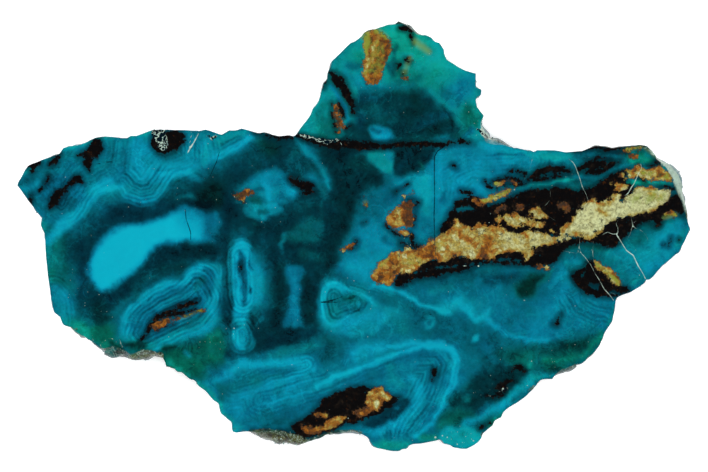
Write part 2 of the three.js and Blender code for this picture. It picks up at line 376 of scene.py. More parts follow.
CORNER_WASHES = (
    (0.32, 0.95, 0.8, [(-29.4, -17.4), (-27, -16.4), (-24, -15.9), (-19.5, -14), (-18.9, -16),
     (-19.6, -19.2), (-22, -21.8), (-25.5, -21), (-28.5, -19.6)]),
    (0.1, 0.9, 0.5, [(-28.6, -16.9, 0.35), (-27, -16.5, 0.2)]),
    (0.46, 0.4, 0.4, [(-26.6, -16.1, 0.2), (-22.4, -15.2, 0.2)]),
    (0.62, 0.9, 0.6, [(-27.6, -18.8, 0.6), (-27, -19.6, 0.4), (-24.6, -20.8, 0.3)]),
    (0.54, 0.3, 0.4, [(-25.2, -17.2, 0.3), (-24.7, -17.9, 0.3)]),
    (0.44, 0.9, 0.6, [(-21.6, -15.6, 0.5), (-21, -18, 0.4), (-20.4, -18.2, 0.5)]),
    (0.5, 0.85, 0.4, [(-21.6, -15, 0.3), (-20.4, -14.4, 0.4)]),
    (0.2, 0.95, 0.7, [(-20.8, -19.4, 0.5), (-19.4, -18.6, 0.3)]),
    (0.13, 0.1, 0.7, [(-18.9, -17.6, 0.5), (-18.2, -18.2, 0.4)]),
)

MIDDLE_WASHES = (
    (0.13, 0.25, 1.6, [(-19.8, 4), (-12, 4), (-3, 8), (-1, 4), (-4, -2), (-5, -15), (-14, -18),
     (-19.4, -18)]),
    (0.2, 0.3, 1, [(-9, 5.4), (-3.4, 8), (-2.6, 3), (-9, 3.4)]),
    (0.36, 0.5, 0.9, [(-11, -0.4), (-8.6, 1.9), (-6.4, 2.9), (-4.6, 3), (-4.4, 1), (-5, -1.4), (-10, -1)]),
    (0.26, 0.5, 0.8, [(-7.6, -2.6, 0.8), (-5.4, -3, 0.5)]),
    (0.3, 0.4, 0.5, [(-4.9, 5.2, 0.15), (-4.9, 2, 0.15)]),
    (0.58, 0.45, 0.5, [(-10.3, 0, 0.15), (-11, -1.2, 0.3), (-10.8, -1.8, 0.15)]),
    (0.34, 0.3, 0.4, [(-10.6, -2.6, 0.2)]),
    (0.6, 0.12, 0.8, [(-18.2, 6.8), (-13.5, 9.9), (-12, 9.9), (-10.6, 9.3), (-8.3, 6.4), (-8.8, 5.7),
     (-10, 5.3), (-12.6, 5), (-14.3, 5.4), (-15, 7), (-16.4, 7.2)]),
    (0.54, 0.25, 0.5, [(-16.3, 4.4), (-15, 4.9), (-13, 5), (-11.2, 4.6), (-10.3, 3.7), (-11.4, 3.1),
     (-13, 2.9), (-14, 2.3), (-15.4, 2.7), (-16.4, 3.4)]),
    (0.78, 0, 0.6, [(-13.4, 7.9, 0.5), (-12.8, 7, 0.6), (-12.8, 5.8, 0.5)]),
    (0.72, 0.05, 0.5, [(-10.3, 6.9, 0.3), (-9.3, 6.7, 0.4), (-8.6, 6.2, 0.3)]),
    (0.7, 0.25, 0.4, [(-14.3, 6.1, 0.2)]), (0.68, 0.2, 0.4, [(-12.8, 4.4, 0.4), (-11.9, 4.7, 0.3)]),
    (0.7, 0.2, 0.4, [(-14.8, 4.1, 0.3)]), (0.26, 0.45, 0.4, [(-14.2, 3.4, 0.3), (-13, 3.6, 0.2)]),
    (0.66, 0.3, 0.3, [(-14, 2.9, 0.2), (-13.8, 2.3, 0.1)]),
    (0.28, 0.1, 0.4, [(-15.2, 7, 0.1), (-14, 6.9, 0.15)]), (0.4, 0, 0.4, [(-10.7, 6.1, 0.4)]),
    (0.3, 0.7, 0.5, [(-15.3, 5.4, 0.4), (-14.4, 4.9, 0.2)]), (0.28, 0.6, 0.4, [(-14.8, 1.6, 0.3)]),
    (0.7, 0.25, 0.5, [(-8.9, 15, 0.3), (-6, 11.5, 0.5), (-4.3, 9, 0.4), (-3.5, 7, 0.2)]),
    (0.4, 0.35, 0.9, [(-7.8, 12.4, 0.3), (-6.4, 10.4, 0.6), (-4.3, 6, 0.3)]),
    (0.62, 0.15, 0.6, [(-6.3, 9, 0.5), (-5.6, 8.4, 0.3)]),
    (0.44, 0.4, 0.5, [(-9.4, 11.4, 0.5), (-8.6, 12.6, 0.3)]),
)

FINGER_WASHES = (
    (0.3, 0.35, 1.2, [(-15, -1.4), (-13.6, -3), (-12.8, -6), (-12.9, -10), (-14.4, -12.4), (-16, -12),
     (-16, -2)]),
    (0.44, 0.25, 0.35, [(-17.1, -1.9, 1.8), (-17.3, -6, 1.45), (-17, -11, 1.1), (-16.9, -15.3, 1.75),
     (-16.6, -16, 1.7)]),
    (0.6, 0.15, 0.8, [(-15.3, -3, 0.6), (-14.6, -6, 0.9), (-14.5, -9, 0.8), (-15.3, -11, 0.4)]),
    (0.8, 0.05, 0.35, [(-17, -1.8, 1.15), (-16.5, -7, 1.6), (-16.6, -9.6, 1.4), (-17, -12, 0.9)]),
    (0.3, 0, 0.35, [(-17, -2.2, 0.2), (-16.8, -3.4, 0.5), (-16.5, -7, 0.55), (-16.4, -10.2, 0.3)]),
    (0.52, 0.1, 0.25, [(-16.2, -3.6, 0.1), (-16, -5, 0.15), (-16.3, -6.4, 0.1)]),
    (0.24, 0, 0.25, [(-15.6, -7.9, 0.15), (-15.6, -8.6, 0.2)]),
    (0.28, 0, 0.3, [(-15.6, -3.6, 0.1), (-15.3, -5, 0.12)]),
    (0.66, 0.25, 0.4, [(-17.5, -12.6, 0.4), (-16.7, -13.3, 0.6)]),
    (0.66, 0.1, 0.45, [(-17.1, -14.6, 0.95), (-16.9, -15.8, 0.9)]),
    (0.84, 0.1, 0.3, [(-18, -14.4, 0.3), (-17.8, -15.4, 0.35), (-17.2, -16.5, 0.3), (-16.5, -16.8, 0.25)]),
    (0.46, 0.05, 0.3, [(-16.9, -14.3, 0.25), (-16.8, -15.3, 0.3)]),
    (0.4, 0.25, 0.5, [(-14.3, -13.1, 0.2), (-13.6, -12.4, 0.25)]),
    (0.13, 0.1, 0.8, [(-19.3, -8.6, 0.3), (-19.2, -12.8, 0.3)]),
    (0.05, 0.5, 1, [(-11, -4.6, 0.4), (-11.6, -12.6, 0.4)]),
    (0.42, 0, 0.6, [(-10.6, -4.3), (-7, -4.3), (-8.1, -8), (-8.1, -11), (-7.4, -13.7), (-9, -13.4),
     (-10.4, -14), (-10.8, -13.5), (-10.1, -12.2), (-9.7, -10), (-9.7, -7.6)]),
    (0.55, 0, 0.7, [(-8.9, -5.4, 0.4), (-8.8, -13, 0.4)]),
    (0.08, 0.5, 0.8, [(-7, -6.6, 0.4), (-6.8, -12.6, 0.5)]),
    (0.1, 0.1, 0.8, [(-12.5, -15.6, 0.8), (-8, -15.3, 0.5), (-6, -14.4, 0.4)]),
)

HEART_WASHES = (
    (0.62, 0.25, 0.6, [(-5.5, -11), (-5.5, -8.5), (-4.8, -7.1), (-4, -6.5), (-3, -6.4), (0.7, -7.9),
     (3.4, -10), (6.6, -11), (6.9, -12.6), (5, -14), (2, -15), (-1.6, -15), (-4, -14.4), (-5, -13)]),
    (0.5, 0.3, 1.2, [(5, -11), (9.6, -11.4), (9.8, -14.6), (6, -15.4), (3, -15)]),
    (0.82, 0.15, 0.3, [(-4.6, -12.1, 0.25), (-4.8, -10.5, 0.3), (-4.6, -8.5, 0.3), (-4, -7.5, 0.3),
     (-3, -7.2, 0.35), (0.8, -8.4, 0.2), (1.7, -8.9, 0.25), (3, -10.5, 0.2)]),
    (0.8, 0.1, 0.35, [(-4.5, -12.4, 0.2), (-3.8, -13.1, 0.25), (-3, -13.4, 0.3), (-1.8, -13, 0.3),
     (-0.8, -12.3, 0.3)]),
    (0.7, 0.05, 0.7, [(-1.4, -13.4, 0.5), (1, -12.2, 0.6), (3.4, -11.6, 0.5), (4.6, -12.6, 0.4)]),
    (0.44, 0.4, 0.4, [(-3.9, -11.9), (-4, -8.6), (-3.2, -7.9), (-0.6, -8.9), (0.8, -9.1), (1.8, -9.9),
     (2.1, -10.7), (-0.7, -11.5), (-3.2, -12.7)]),
    (0.34, 0.6, 0.4, [(-1.6, -9.2, 0.2), (-0.4, -9.5, 0.4)]),
    (0.32, 0.1, 0.35, [(-1.4, -11.4, 0.15), (1.6, -10.8, 0.15), (2, -10, 0.1)]),
    (0.56, 0.2, 0.3, [(0.8, -10.2, 0.3)]), (0.6, 0.2, 0.3, [(-3, -11.9, 0.3)]),
    (0.46, 0.3, 0.4, [(-1.8, -6.9, 0.1), (-0.6, -7.2, 0.3), (2.6, -8.4, 0.3)]),
    (0.44, 0.35, 0.8, [(3, -8.6, 0.3), (7.2, -9.6, 0.3)]),
    (0.3, 0.35, 1.2, [(-4.6, -15, 0.8), (-3.4, -16.6, 0.8), (-4, -19, 0.8), (-1.8, -19, 0.3)]),
)

RIDGE_WASHES = (
    (0.5, 0.15, 1.5, [(5, -7.8), (14, -6), (40, -3), (42, -8), (38, -14), (30, -17), (20, -14), (14, -10)]),
    (0.34, 0.2, 1.2, [(8.4, -10.6), (15.6, -12.4), (21.6, -15.6), (23, -17), (18, -17.4), (14.6, -15.4),
     (10, -14.9), (8.6, -13.6)]),
    (0.36, 0.05, 0.9, [(19.8, -6.6, 0.6), (22.4, -6.4, 0.8), (24.4, -5.6, 0.4)]),
    (0.58, 0.35, 0.6, [(11.4, -8.3, 0.5), (14.4, -7.8, 0.7)]),
    (0.64, 0.2, 0.6, [(18, -7.4, 0.3), (18.7, -6.8, 0.4)]), (0.58, 0.05, 0.5, [(21.8, -7.9, 0.5)]),
    (0.4, 0.2, 0.8, [(23.6, -10, 0.6), (25.4, -10.6, 0.7), (24.4, -12, 0.4)]),
    (0.6, 0, 1.2, [(27.6, -14.2, 1.2), (29.4, -10.6, 1.2), (31.6, -8, 1)]),
    (0.68, 0, 0.8, [(29.4, -7.4, 0.5), (31.4, -5.4, 0.5)]),
    (0.5, 0, 0.7, [(24.6, -13.6, 0.5), (26.2, -13.2, 0.4)]),
    (0.72, 0.2, 0.9, [(13.2, -10), (14.8, -9.2), (16.6, -9.1), (18, -10.4), (18, -11.6), (15, -11),
     (14.4, -11.7), (13, -11.5), (12.4, -10.9)]),
    (0.82, 0.15, 0.4, [(3, -7.5, 0.3), (6.2, -8.1, 0.4), (10.6, -10.4, 0.35), (14.2, -11.5, 0.35)]),
    (0.78, 0.15, 0.5, [(15.8, -9.8, 0.5), (17.6, -12, 0.4), (18.3, -12.5, 0.5), (20.1, -11.6, 0.3),
     (20.3, -11, 0.1)]),
    (0.74, 0.05, 0.45, [(20, -12.4, 0.3), (22.8, -14.8, 0.35), (25.4, -15.3, 0.35), (26.6, -15.9, 0.4),
     (27.8, -15.9, 0.3), (29.2, -15.4, 0.25)]),
    (0.56, 0.3, 0.3, [(10.9, -12.3, 0.1), (11.8, -12.5, 0.15), (12.1, -13.1, 0.15), (11.8, -13.8, 0.15),
     (11, -13.8, 0.1), (10.7, -13.2, 0.08)]),
    (0.74, 0.2, 0.35, [(18.4, -15.3, 0.6)]), (0.46, 0.3, 0.4, [(18.6, -14.6, 0.15), (18.2, -13.4, 0.15)]),
    (0.46, 0.2, 1, [(20.6, -16.6, 0.5), (19.6, -18, 0.5), (17.8, -18.4, 0.9)]),
    (0.3, 0.25, 0.9, [(19.6, -18.6, 0.6), (19.8, -20, 0.5)]),
)

LOWER_WASHES = (
    (0.52, 0.12, 1.6, [(-24, -20.6), (-18, -18.4), (-10, -17.6), (-6, -17.6), (-4.6, -20), (4, -15.4),
     (14, -15), (17, -17), (17, -22), (11, -31), (2, -31), (-9, -27), (-12, -30), (-19, -30)]),
    (0.44, 0.35, 0.8, [(-20.6, -22.4), (-16, -21), (-9, -20), (-18.4, -24.4), (-20, -24)]),
    (0.52, 0.5, 0.9, [(-12.4, -17.9, 0.5), (-5.2, -16.4, 0.4)]),
    (0.76, 0.03, 0.5, [(-19.4, -20.6, 0.4), (-16.4, -19.1, 0.6), (-13, -19.2, 0.5), (-8, -18.7, 0.7),
     (-6.8, -18.9, 0.7)]),
    (0.66, 0.03, 0.5, [(-22.2, -22, 0.4), (-18.6, -20.7, 0.3)]),
    (0.74, 0.03, 0.45, [(-6.4, -19.9, 0.5), (-10, -21.6, 0.5), (-12.6, -22.4, 0.6)]),
    (0.62, 0, 0.9, [(-13, -22.4, 0.6), (-15.6, -23.4, 0.8), (-17.6, -25, 0.8), (-17.4, -27, 0.5)]),
    (0.4, 0.05, 0.35, [(-9.6, -20.2, 0.2), (-14, -20.6, 0.25)]),
    (0.68, 0, 0.5, [(-5.6, -21.4, 0.3), (-10.4, -23, 0.3)]),
    (0.68, 0.03, 0.45, [(-6.6, -23.4, 0.3), (-14.4, -25.6, 0.3)]),
    (0.48, 0.03, 0.4, [(-10.6, -23.7, 0.15), (-15, -25, 0.1)]),
    (0.84, 0.05, 0.4, [(0.8, -19.9, 0.3), (-2.6, -20.9, 0.4), (-5.6, -22.6, 0.35)]),
    (0.42, 0.05, 0.8, [(-5, -24, 0.5), (-9.6, -26.8, 0.6)]),
    (0.36, 0.3, 0.9, [(-10, -28, 0.5), (-13, -28.4, 0.5)]),
    (0.5, 0.2, 0.8, [(-16, -28, 0.6), (-13, -26.8, 0.8)]),
    (0.44, 0.05, 0.6, [(-1, -21.6, 0.4), (1.6, -21.4, 0.5), (4, -20.8, 0.5)]),
    (0.66, 0.75, 0.5, [(-23.4, -22.3, 0.4), (-21.6, -23.6, 0.4), (-20.4, -25, 0.35), (-19.8, -26.4, 0.3),
     (-18.4, -27.8, 0.3)]),
    (0.36, 0.5, 0.6, [(-20, -22.6, 0.5), (-20, -24.6, 0.3)]), (0.7, 0.45, 0.4, [(-17.8, -28.8, 0.6)]),
    (0.64, 0.05, 0.9, [(-1, -16.4), (2, -15.6), (6, -16), (4, -17.4), (0.4, -18.8), (-1.4, -18.4)]),
    (0.78, 0.03, 0.35, [(0, -17.6, 0.3), (2, -16.8, 0.35), (4.4, -17, 0.3), (9, -16, 0.35),
     (13.6, -16, 0.3)]),
    (0.42, 0.1, 0.3, [(9.4, -15.3, 0.12), (12.4, -15.3, 0.12), (14.6, -15.8, 0.12), (15.8, -16.6, 0.12)]),
    (0.84, 0.03, 0.4, [(-1.4, -20.7, 0.2), (10, -16.5, 0.35), (13.6, -16.4, 0.45), (14.7, -17, 0.5),
     (15.2, -18.4, 0.5), (14.9, -22.2, 0.45), (11.8, -28, 0.3), (10.6, -29.2, 0.3), (9, -30.2, 0.25)]),
    (0.44, 0, 0.5, [(4, -19.8, 0.3), (7, -18.5, 0.5), (10, -17.8, 0.5), (12.4, -18, 0.5),
     (13.6, -19.2, 0.4), (13.9, -21, 0.3), (13.5, -22.6, 0.25)]),
    (0.56, 0.4, 0.7, [(5.6, -19.8, 0.5), (5.8, -21.6, 0.7), (6.8, -22.4, 0.6)]),
    (0.66, 0.25, 0.5, [(6.2, -21.9, 0.4)]),
    (0.72, 0.03, 0.6, [(8.4, -21, 0.4), (9.4, -21.8, 0.7), (9.9, -23.4, 0.7), (9.7, -25, 0.6),
     (8.8, -26.6, 0.55), (7, -27.9, 0.55), (3, -29.5, 0.5)]),
    (0.4, 0.03, 0.25, [(11.4, -22.8, 0.15), (11, -25, 0.15), (10.2, -26.8, 0.15), (9, -28.2, 0.15),
     (7.2, -29.4, 0.12)]),
    (0.42, 0.03, 0.25, [(12.4, -23.6, 0.12), (11.6, -26, 0.14), (10.5, -28, 0.14), (9, -29.3, 0.12),
     (7.4, -30, 0.1)]),
    (0.17, 0, 0.45, [(4.6, -26.2), (5.6, -25.1), (7, -24.5), (8.2, -24.2), (8.7, -25), (8.2, -26.1),
     (5.2, -27.9), (3, -28.7), (1.4, -28.8), (1.6, -28), (4, -27)]),
    (0.36, 0.03, 0.4, [(6.6, -25.7, 0.35)]), (0.4, 0.03, 0.6, [(7.8, -23.4, 0.3), (6.4, -23.5, 0.2)]),
    (0.5, 0.1, 0.6, [(11.9, -22.6, 0.4), (12.6, -19, 0.4)]),
    (0.46, 0.2, 0.8, [(16.6, -18, 0.5), (16.6, -21, 0.4)]),
    (0.13, 0.45, 1.1, [(16.6, -22.6), (18, -21), (20.4, -19.6), (25.8, -19.2), (26, -21), (24, -22.4),
     (22.8, -24.5), (20, -24.8), (18.6, -26.2), (15, -26.2), (13.8, -25.4)]),
    (0.3, 0.5, 0.5, [(16.9, -24.4, 0.4)]),
    (0.3, 0.85, 0.9, [(12.6, -27.6), (14, -26), (18.4, -26.2), (17, -27.8), (12.2, -29.6)]),
    (0.48, 0.85, 0.7, [(12.8, -28.6, 0.5), (14.4, -28, 0.4)]),
    (0.7, 0.03, 0.6, [(16.6, -28.2, 0.4), (22.2, -25.4, 0.6), (25.8, -22.4, 0.4)]),
    (0.34, 0.05, 0.5, [(18.6, -26.2, 0.3), (20.2, -25.2, 0.3)]),
    (0.6, 0.85, 0.35, [(20.2, -28.5, 0.3), (22.4, -26.4, 0.15)]),
    (0.76, 0.45, 0.5, [(12.6, -29.9), (13.4, -28.9), (16.4, -28.4), (18.4, -28.8), (19.3, -29.6),
     (18.7, -31), (17, -32.2), (15.3, -32), (13.2, -31.2)]),
    (0.6, 0.6, 0.5, [(16.2, -29.8, 0.4)]), (0.62, 0.85, 0.5, [(10, -30.4, 0.5), (12, -30.2, 0.5)]),
    (0.64, 0.75, 0.5, [(2.6, -30.7), (9, -31), (7.8, -32), (4.6, -32.3), (2.9, -31.8)]),
    (0.52, 0.2, 0.4, [(-1.6, -28.7, 0.2), (0.2, -28.5, 0.3)]),
    (0.4, 0.7, 0.4, [(-4.8, -30.2, 0.25), (-2.4, -29.5, 0.2)]),
)

LOWER_RIGHT_WASHES = (
    (0.25, 0.65, 1, [(21, -17.2), (24, -16.4), (27, -16.7), (29.4, -16.3), (38.2, -13.8), (36, -17.6),
     (32, -20.2), (26, -20.2), (22, -19)]),
    (0.12, 0.8, 0.8, [(31.6, -16.8, 0.7), (34.4, -16.3, 0.6)]),
    (0.13, 0.75, 0.8, [(23.6, -18, 0.5), (25, -18.2, 0.4)]),
    (0.42, 0.9, 0.6, [(28.6, -18.9, 0.4), (33.6, -18.2, 0.4)]),
    (0.3, 0.9, 0.6, [(29, -19.8, 0.4), (31.4, -19.6, 0.4)]),
    (0.5, 0.9, 0.5, [(34.4, -18.2, 0.4), (37.2, -14.8, 0.4)]),
    (0.2, 0.4, 0.4, [(27.2, -19, 0.4), (27.8, -18.6, 0.3)]),
    (0.5, 0.7, 0.3, [(26.2, -20, 0.2), (26.4, -18.9, 0.2)]),
    (0.66, 0.5, 0.5, [(26.8, -21, 0.5), (30, -20.9, 0.2)]),
    (0.7, 0.25, 0.6, [(24.8, -22.8, 0.6), (26.4, -21.8, 0.6)]),
    (0.54, 0.1, 0.8, [(36.4, -10.6, 0.7), (37.6, -12, 0.6)]),
    (0.62, 0.6, 0.4, [(39, -10.4, 0.2), (38.8, -12.2, 0.2), (38.2, -13.4, 0.2)]),
    (0.36, 0.35, 0.9, [(33, -14.8, 0.5), (35.6, -13.8, 0.6)]),
    (0.26, 0.95, 0.9, [(25.4, -6.6), (27, -5.4), (28.8, -5.6), (27.4, -7.2), (27.2, -9), (25.6, -9.3),
     (24, -8.6), (24.4, -7.4)]),
    (0.1, 0.95, 0.6, [(24.6, -8.3, 0.3), (25.8, -8.6, 0.35)]),
    (0.56, 0.7, 0.5, [(29.4, -5, 0.3), (28.9, -6.2, 0.3), (27.5, -7.4, 0.15)]),
    (0.72, 0.3, 0.4, [(31.8, -4, 0.3)]), (0.56, 0, 0.7, [(32, -3.2), (34, -3), (34.4, -4.6), (32.6, -4.8)]),
    (0.56, 0.1, 1, [(37, -2), (41, -1.6), (44, -2), (46.4, 1.4), (50.4, 2.4), (50.8, 0.6), (44, -7),
     (42, -8), (40, -4.6), (37.4, -3.4)]),
    (0.66, 0.08, 1, [(43, -1.4), (46, 1.2), (49.6, 1.6), (49, -1.6), (44.4, -5.6), (42.8, -3.6)]),
    (0.72, 0, 0.5, [(44, -5, 0.4), (44.4, -4, 0.3)]),
    (0.62, 0.55, 0.6, [(48.6, -1.4, 0.4), (49.6, 0.8, 0.4)]),
    (0.6, 0.5, 0.6, [(42, -6.8, 0.5), (43.4, -6.2, 0.3)]),
    (0.3, 0.3, 0.5, [(44.4, 1.6, 0.5), (46, 1.6, 0.4)]),
    (0.36, 0.55, 0.4, [(32.4, -1.6, 0.3), (36.6, -1.8, 0.3)]),
    (0.7, 0.3, 0.25, [(37.8, -2.4, 0.15), (40, -1.6, 0.1)]), (0.3, 0.2, 0.5, [(31.3, -11.6, 0.4)]),
    (0.4, 0.15, 0.3, [(33, -10.2, 0.12), (34.4, -11.2, 0.15), (38, -12.6, 0.1)]),
)

UPPER_RIGHT_WASHES = (
    (0.6, 0.08, 1.2, [(3.5, 3), (5, 7), (9, 9), (12, 12.6), (13.6, 13.6), (34, 13.2), (36, 10), (14, 4),
     (12, 0), (8, -1), (5, 0)]),
    (0.76, 0, 1.6, [(-1.8, -3), (0.2, 2.4), (2, 4.6), (5.6, -1), (5, -3), (2.6, -6.7), (1, -6.9),
     (-2, -5)]),
    (0.5, 0.1, 0.8, [(0.3, 3.6), (2, 2.8), (4.4, 3.4), (7.4, 7.4), (5.8, 7.9), (1.2, 6.6), (0.3, 5.4)]),
    (0.42, 0, 0.5, [(4.6, 5.4, 0.5), (5.8, 6.2, 0.4)]),
    (0.46, 0.05, 0.6, [(4.6, -0.4, 0.3), (5.6, -1.4, 0.3)]),
    (0.54, 0.05, 0.9, [(10.4, 0.6, 0.6), (9.9, 2.4, 0.5)]),
    (0.74, 0.28, 0.8, [(6.8, 8), (10.6, 9.4), (11.8, 9), (11.4, 3), (10.4, 3.6), (9.8, 5.8), (8.6, 7.2)]),
    (0.72, 0.05, 0.6, [(13, 12.4, 0.5), (13, 6, 0.4)]),
    (0.62, 0.2, 0.6, [(12.6, 2.6, 0.4), (12.7, 0.9, 0.3)]),
    (0.44, 0, 0.6, [(13.4, 5.4, 0.4), (13.6, 6.6, 0.2)]),
    (0.52, 0.05, 1, [(15.4, 12.6, 0.5), (17, 12.4, 0.6)]),
    (0.68, 0, 0.8, [(15, 7.6, 0.6), (18, 9, 0.8), (19, 11.4, 0.5)]),
    (0.5, 0.03, 0.9, [(21, 9.8, 0.6), (22.6, 10.4, 0.6), (21.6, 11.6, 0.4)]),
    (0.72, 0.2, 0.7, [(18.6, 13.6), (21, 14), (26, 13), (26.4, 12.2), (20, 12.5)]),
    (0.8, 0.42, 0.6, [(24, 13), (32.6, 12.6), (32.8, 11.7), (27.5, 11.4), (26, 12.1), (24.4, 12.3)]),
    (0.68, 0.2, 0.3, [(22.4, 11.5, 0.15), (24, 11.9, 0.2), (25.6, 11.5, 0.2)]),
    (0.44, 0.05, 0.3, [(21.2, 12.1, 0.12), (23.4, 12.3, 0.15), (25.6, 12.1, 0.12)]),
    (0.5, 0.05, 0.7, [(24.4, 10.8, 0.4), (32, 10.5, 0.4)]),
    (0.1, 0.4, 1, [(-6, 13.8), (-3.8, 10.2), (-2.6, 6), (-4.8, -1), (-4.6, -5), (-2.7, -4.6), (-2.3, -1.6),
     (0, 3.5), (0.6, 6.6), (5.6, 8.6), (-1, 12.4), (2.5, 13.4)]),
    (0.2, 0.5, 0.8, [(-1.2, 12), (1.8, 12.6), (2.2, 11.2), (4.6, 9.4), (2, 9.6), (0, 10.4)]),
    (0.14, 0.35, 0.6, [(5.9, 13.4), (5.9, 9.3), (7, 9.1), (9.5, 9.8), (10.6, 10.5), (11.6, 11.6),
     (12.2, 13.4)]),
    (0.22, 0.1, 0.7, [(6.8, 9.9, 0.4), (8, 12.2, 0.4)]),
    (0.34, 0.85, 0.4, [(9.9, 11, 0.25), (10.2, 10.4, 0.2)]),
    (0.62, 0.55, 0.35, [(2.1, 12.6), (2.3, 11.2), (5.3, 9.3), (5.9, 9.7), (5.8, 12.5), (5.2, 13.2),
     (3, 13)]),
    (0.6, 0.1, 0.4, [(5, 12.8, 0.35), (5.4, 11.6, 0.2)]),
    (0.62, 0.2, 0.4, [(6.4, 8.2, 0.4), (7.6, 8.2, 0.4)]),
)

CROWN_WASHES = (
    (0.66, 0.6, 0.8, [(-9.4, 15.6), (-7, 17.6), (-5.4, 20.4), (-3.8, 25.6), (-2, 28), (1, 30), (2, 31.2),
     (7, 32.6), (12, 29.8), (14, 27), (18, 25), (20, 18), (20, 15), (16, 13.8), (-6, 14.6)]),
    (0.46, 0.75, 0.9, [(-3.4, 18.6), (-2.4, 16), (-2.6, 14.6), (-5.6, 14.8), (-5.4, 16.4)]),
    (0.5, 0.6, 0.9, [(-4.9, 18, 0.5), (-4.3, 20.4, 0.3)]),
    (0.4, 0.3, 0.7, [(-0.6, 25.6, 0.5), (0.6, 25.6, 0.6)]),
    (0.55, 0.15, 1, [(-1, 24.2, 0.4), (2.2, 21.9, 0.5), (8.6, 22.6, 0.4)]),
    (0.62, 0.3, 0.6, [(1, 24.1, 0.4), (2.6, 22.3, 0.2)]),
    (0.19, 0.4, 1.1, [(-0.2, 21.6), (10.8, 22.3), (12.6, 19.8), (16.4, 16.4), (16.2, 14.9), (6, 14),
     (0, 14), (-2.4, 14.8), (-0.6, 16.2), (0, 18)]),
    (0.12, 0.6, 0.9, [(9, 20.6, 1), (10.6, 19, 0.8), (7.6, 18.4, 0.5)]),
    (0.24, 0.05, 0.8, [(1.4, 21, 0.5), (3.4, 20.6, 0.4)]),
    (0.14, 0.05, 0.8, [(1.2, 17.9, 0.4), (1.2, 16.4, 0.3)]),
    (0.32, 0.45, 0.9, [(3.4, 18.8, 0.7), (3.8, 17.6, 0.5)]),
    (0.28, 0.15, 0.9, [(11.8, 17.6, 0.7), (13.8, 18, 0.5), (9.4, 16.4, 0.5)]),
    (0.13, 0.6, 0.8, [(11.6, 15.8, 0.5), (14.6, 16.8, 0.6)]),
    (0.6, 0.15, 0.9, [(12.4, 21.4), (13, 19.8), (15, 19.4), (17.4, 20.4), (18.4, 22), (18.2, 24.2),
     (16, 24.6)]),
    (0.52, 0.05, 0.6, [(16.2, 22.8, 0.7), (15.8, 20.4, 0.5)]),
    (0.66, 0.45, 0.4, [(11.4, 22.2, 0.2), (12.4, 20.7, 0.3), (13.8, 19.7, 0.3)]),
    (0.78, 0.55, 0.9, [(10, 27), (13, 27.6), (14, 26), (17, 24.9), (11, 24.8)]),
    (0.8, 0.45, 0.6, [(11.8, 29.2, 0.5), (12.8, 28, 0.6), (12.6, 26.8, 0.4)]),
    (0.74, 0.6, 0.6, [(5, 31, 0.6), (6.4, 31, 0.6), (5.6, 30.4, 0.4)]),
    (0.62, 0.8, 0.5, [(7, 29.8, 0.5), (7.8, 28.8, 0.5), (7.2, 28, 0.3)]),
    (0.66, 0.3, 0.5, [(7.4, 27.4, 0.5), (8.6, 27.6, 0.5)]),
    (0.3, 0.3, 0.6, [(5.4, 25.6, 0.5), (6, 24.4, 0.4), (5.9, 26.6, 0.3)]),
    (0.32, 0.2, 0.45, [(6.4, 28.5, 0.35), (5.9, 27.4, 0.2)]),
    (0.48, 0.5, 0.8, [(6.8, 22.8, 0.4), (9.4, 23.8, 0.5)]),
    (0.6, 0.03, 0.3, [(-3.5, 22.5, 0.2), (-1.2, 19.2, 0.35), (-0.8, 17.1, 0.2)]),
    (0.62, 0, 0.45, [(2, 16.2), (3, 16.6), (4.5, 16.4), (5.6, 15.8), (6, 14.7), (5.6, 14.2), (3.6, 14.2),
     (2.5, 14.8), (2, 15.5)]),
    (0.74, 0.03, 0.4, [(3.6, 14.9, 0.3), (5, 14.8, 0.4)]),
    (0.36, 0, 0.3, [(2.8, 15.8, 0.25), (4, 15.6, 0.2)]),
    (0.42, 0.1, 0.4, [(12.2, 14.6, 0.2), (15.6, 14.4, 0.2)]),
    (0.4, 0.85, 0.7, [(15.8, 17.4), (17.4, 20.4), (19.4, 17.8), (18.6, 16.4), (17.4, 15.4), (16.4, 15.8)]),
    (0.6, 0.8, 0.5, [(17.9, 19.2, 0.5), (18.6, 18.4, 0.4)]),
    (0.5, 0.05, 0.5, [(17.7, 15.8, 0.4), (16.6, 14.8, 0.2)]),
    (0.7, 0.2, 0.5, [(19, 14, 0.4), (22, 13.7, 0.3)]),
    (0.74, 0.6, 0.4, [(-8.3, 16, 0.3), (-7, 17.4, 0.3), (-5, 21, 0.3)]),
)

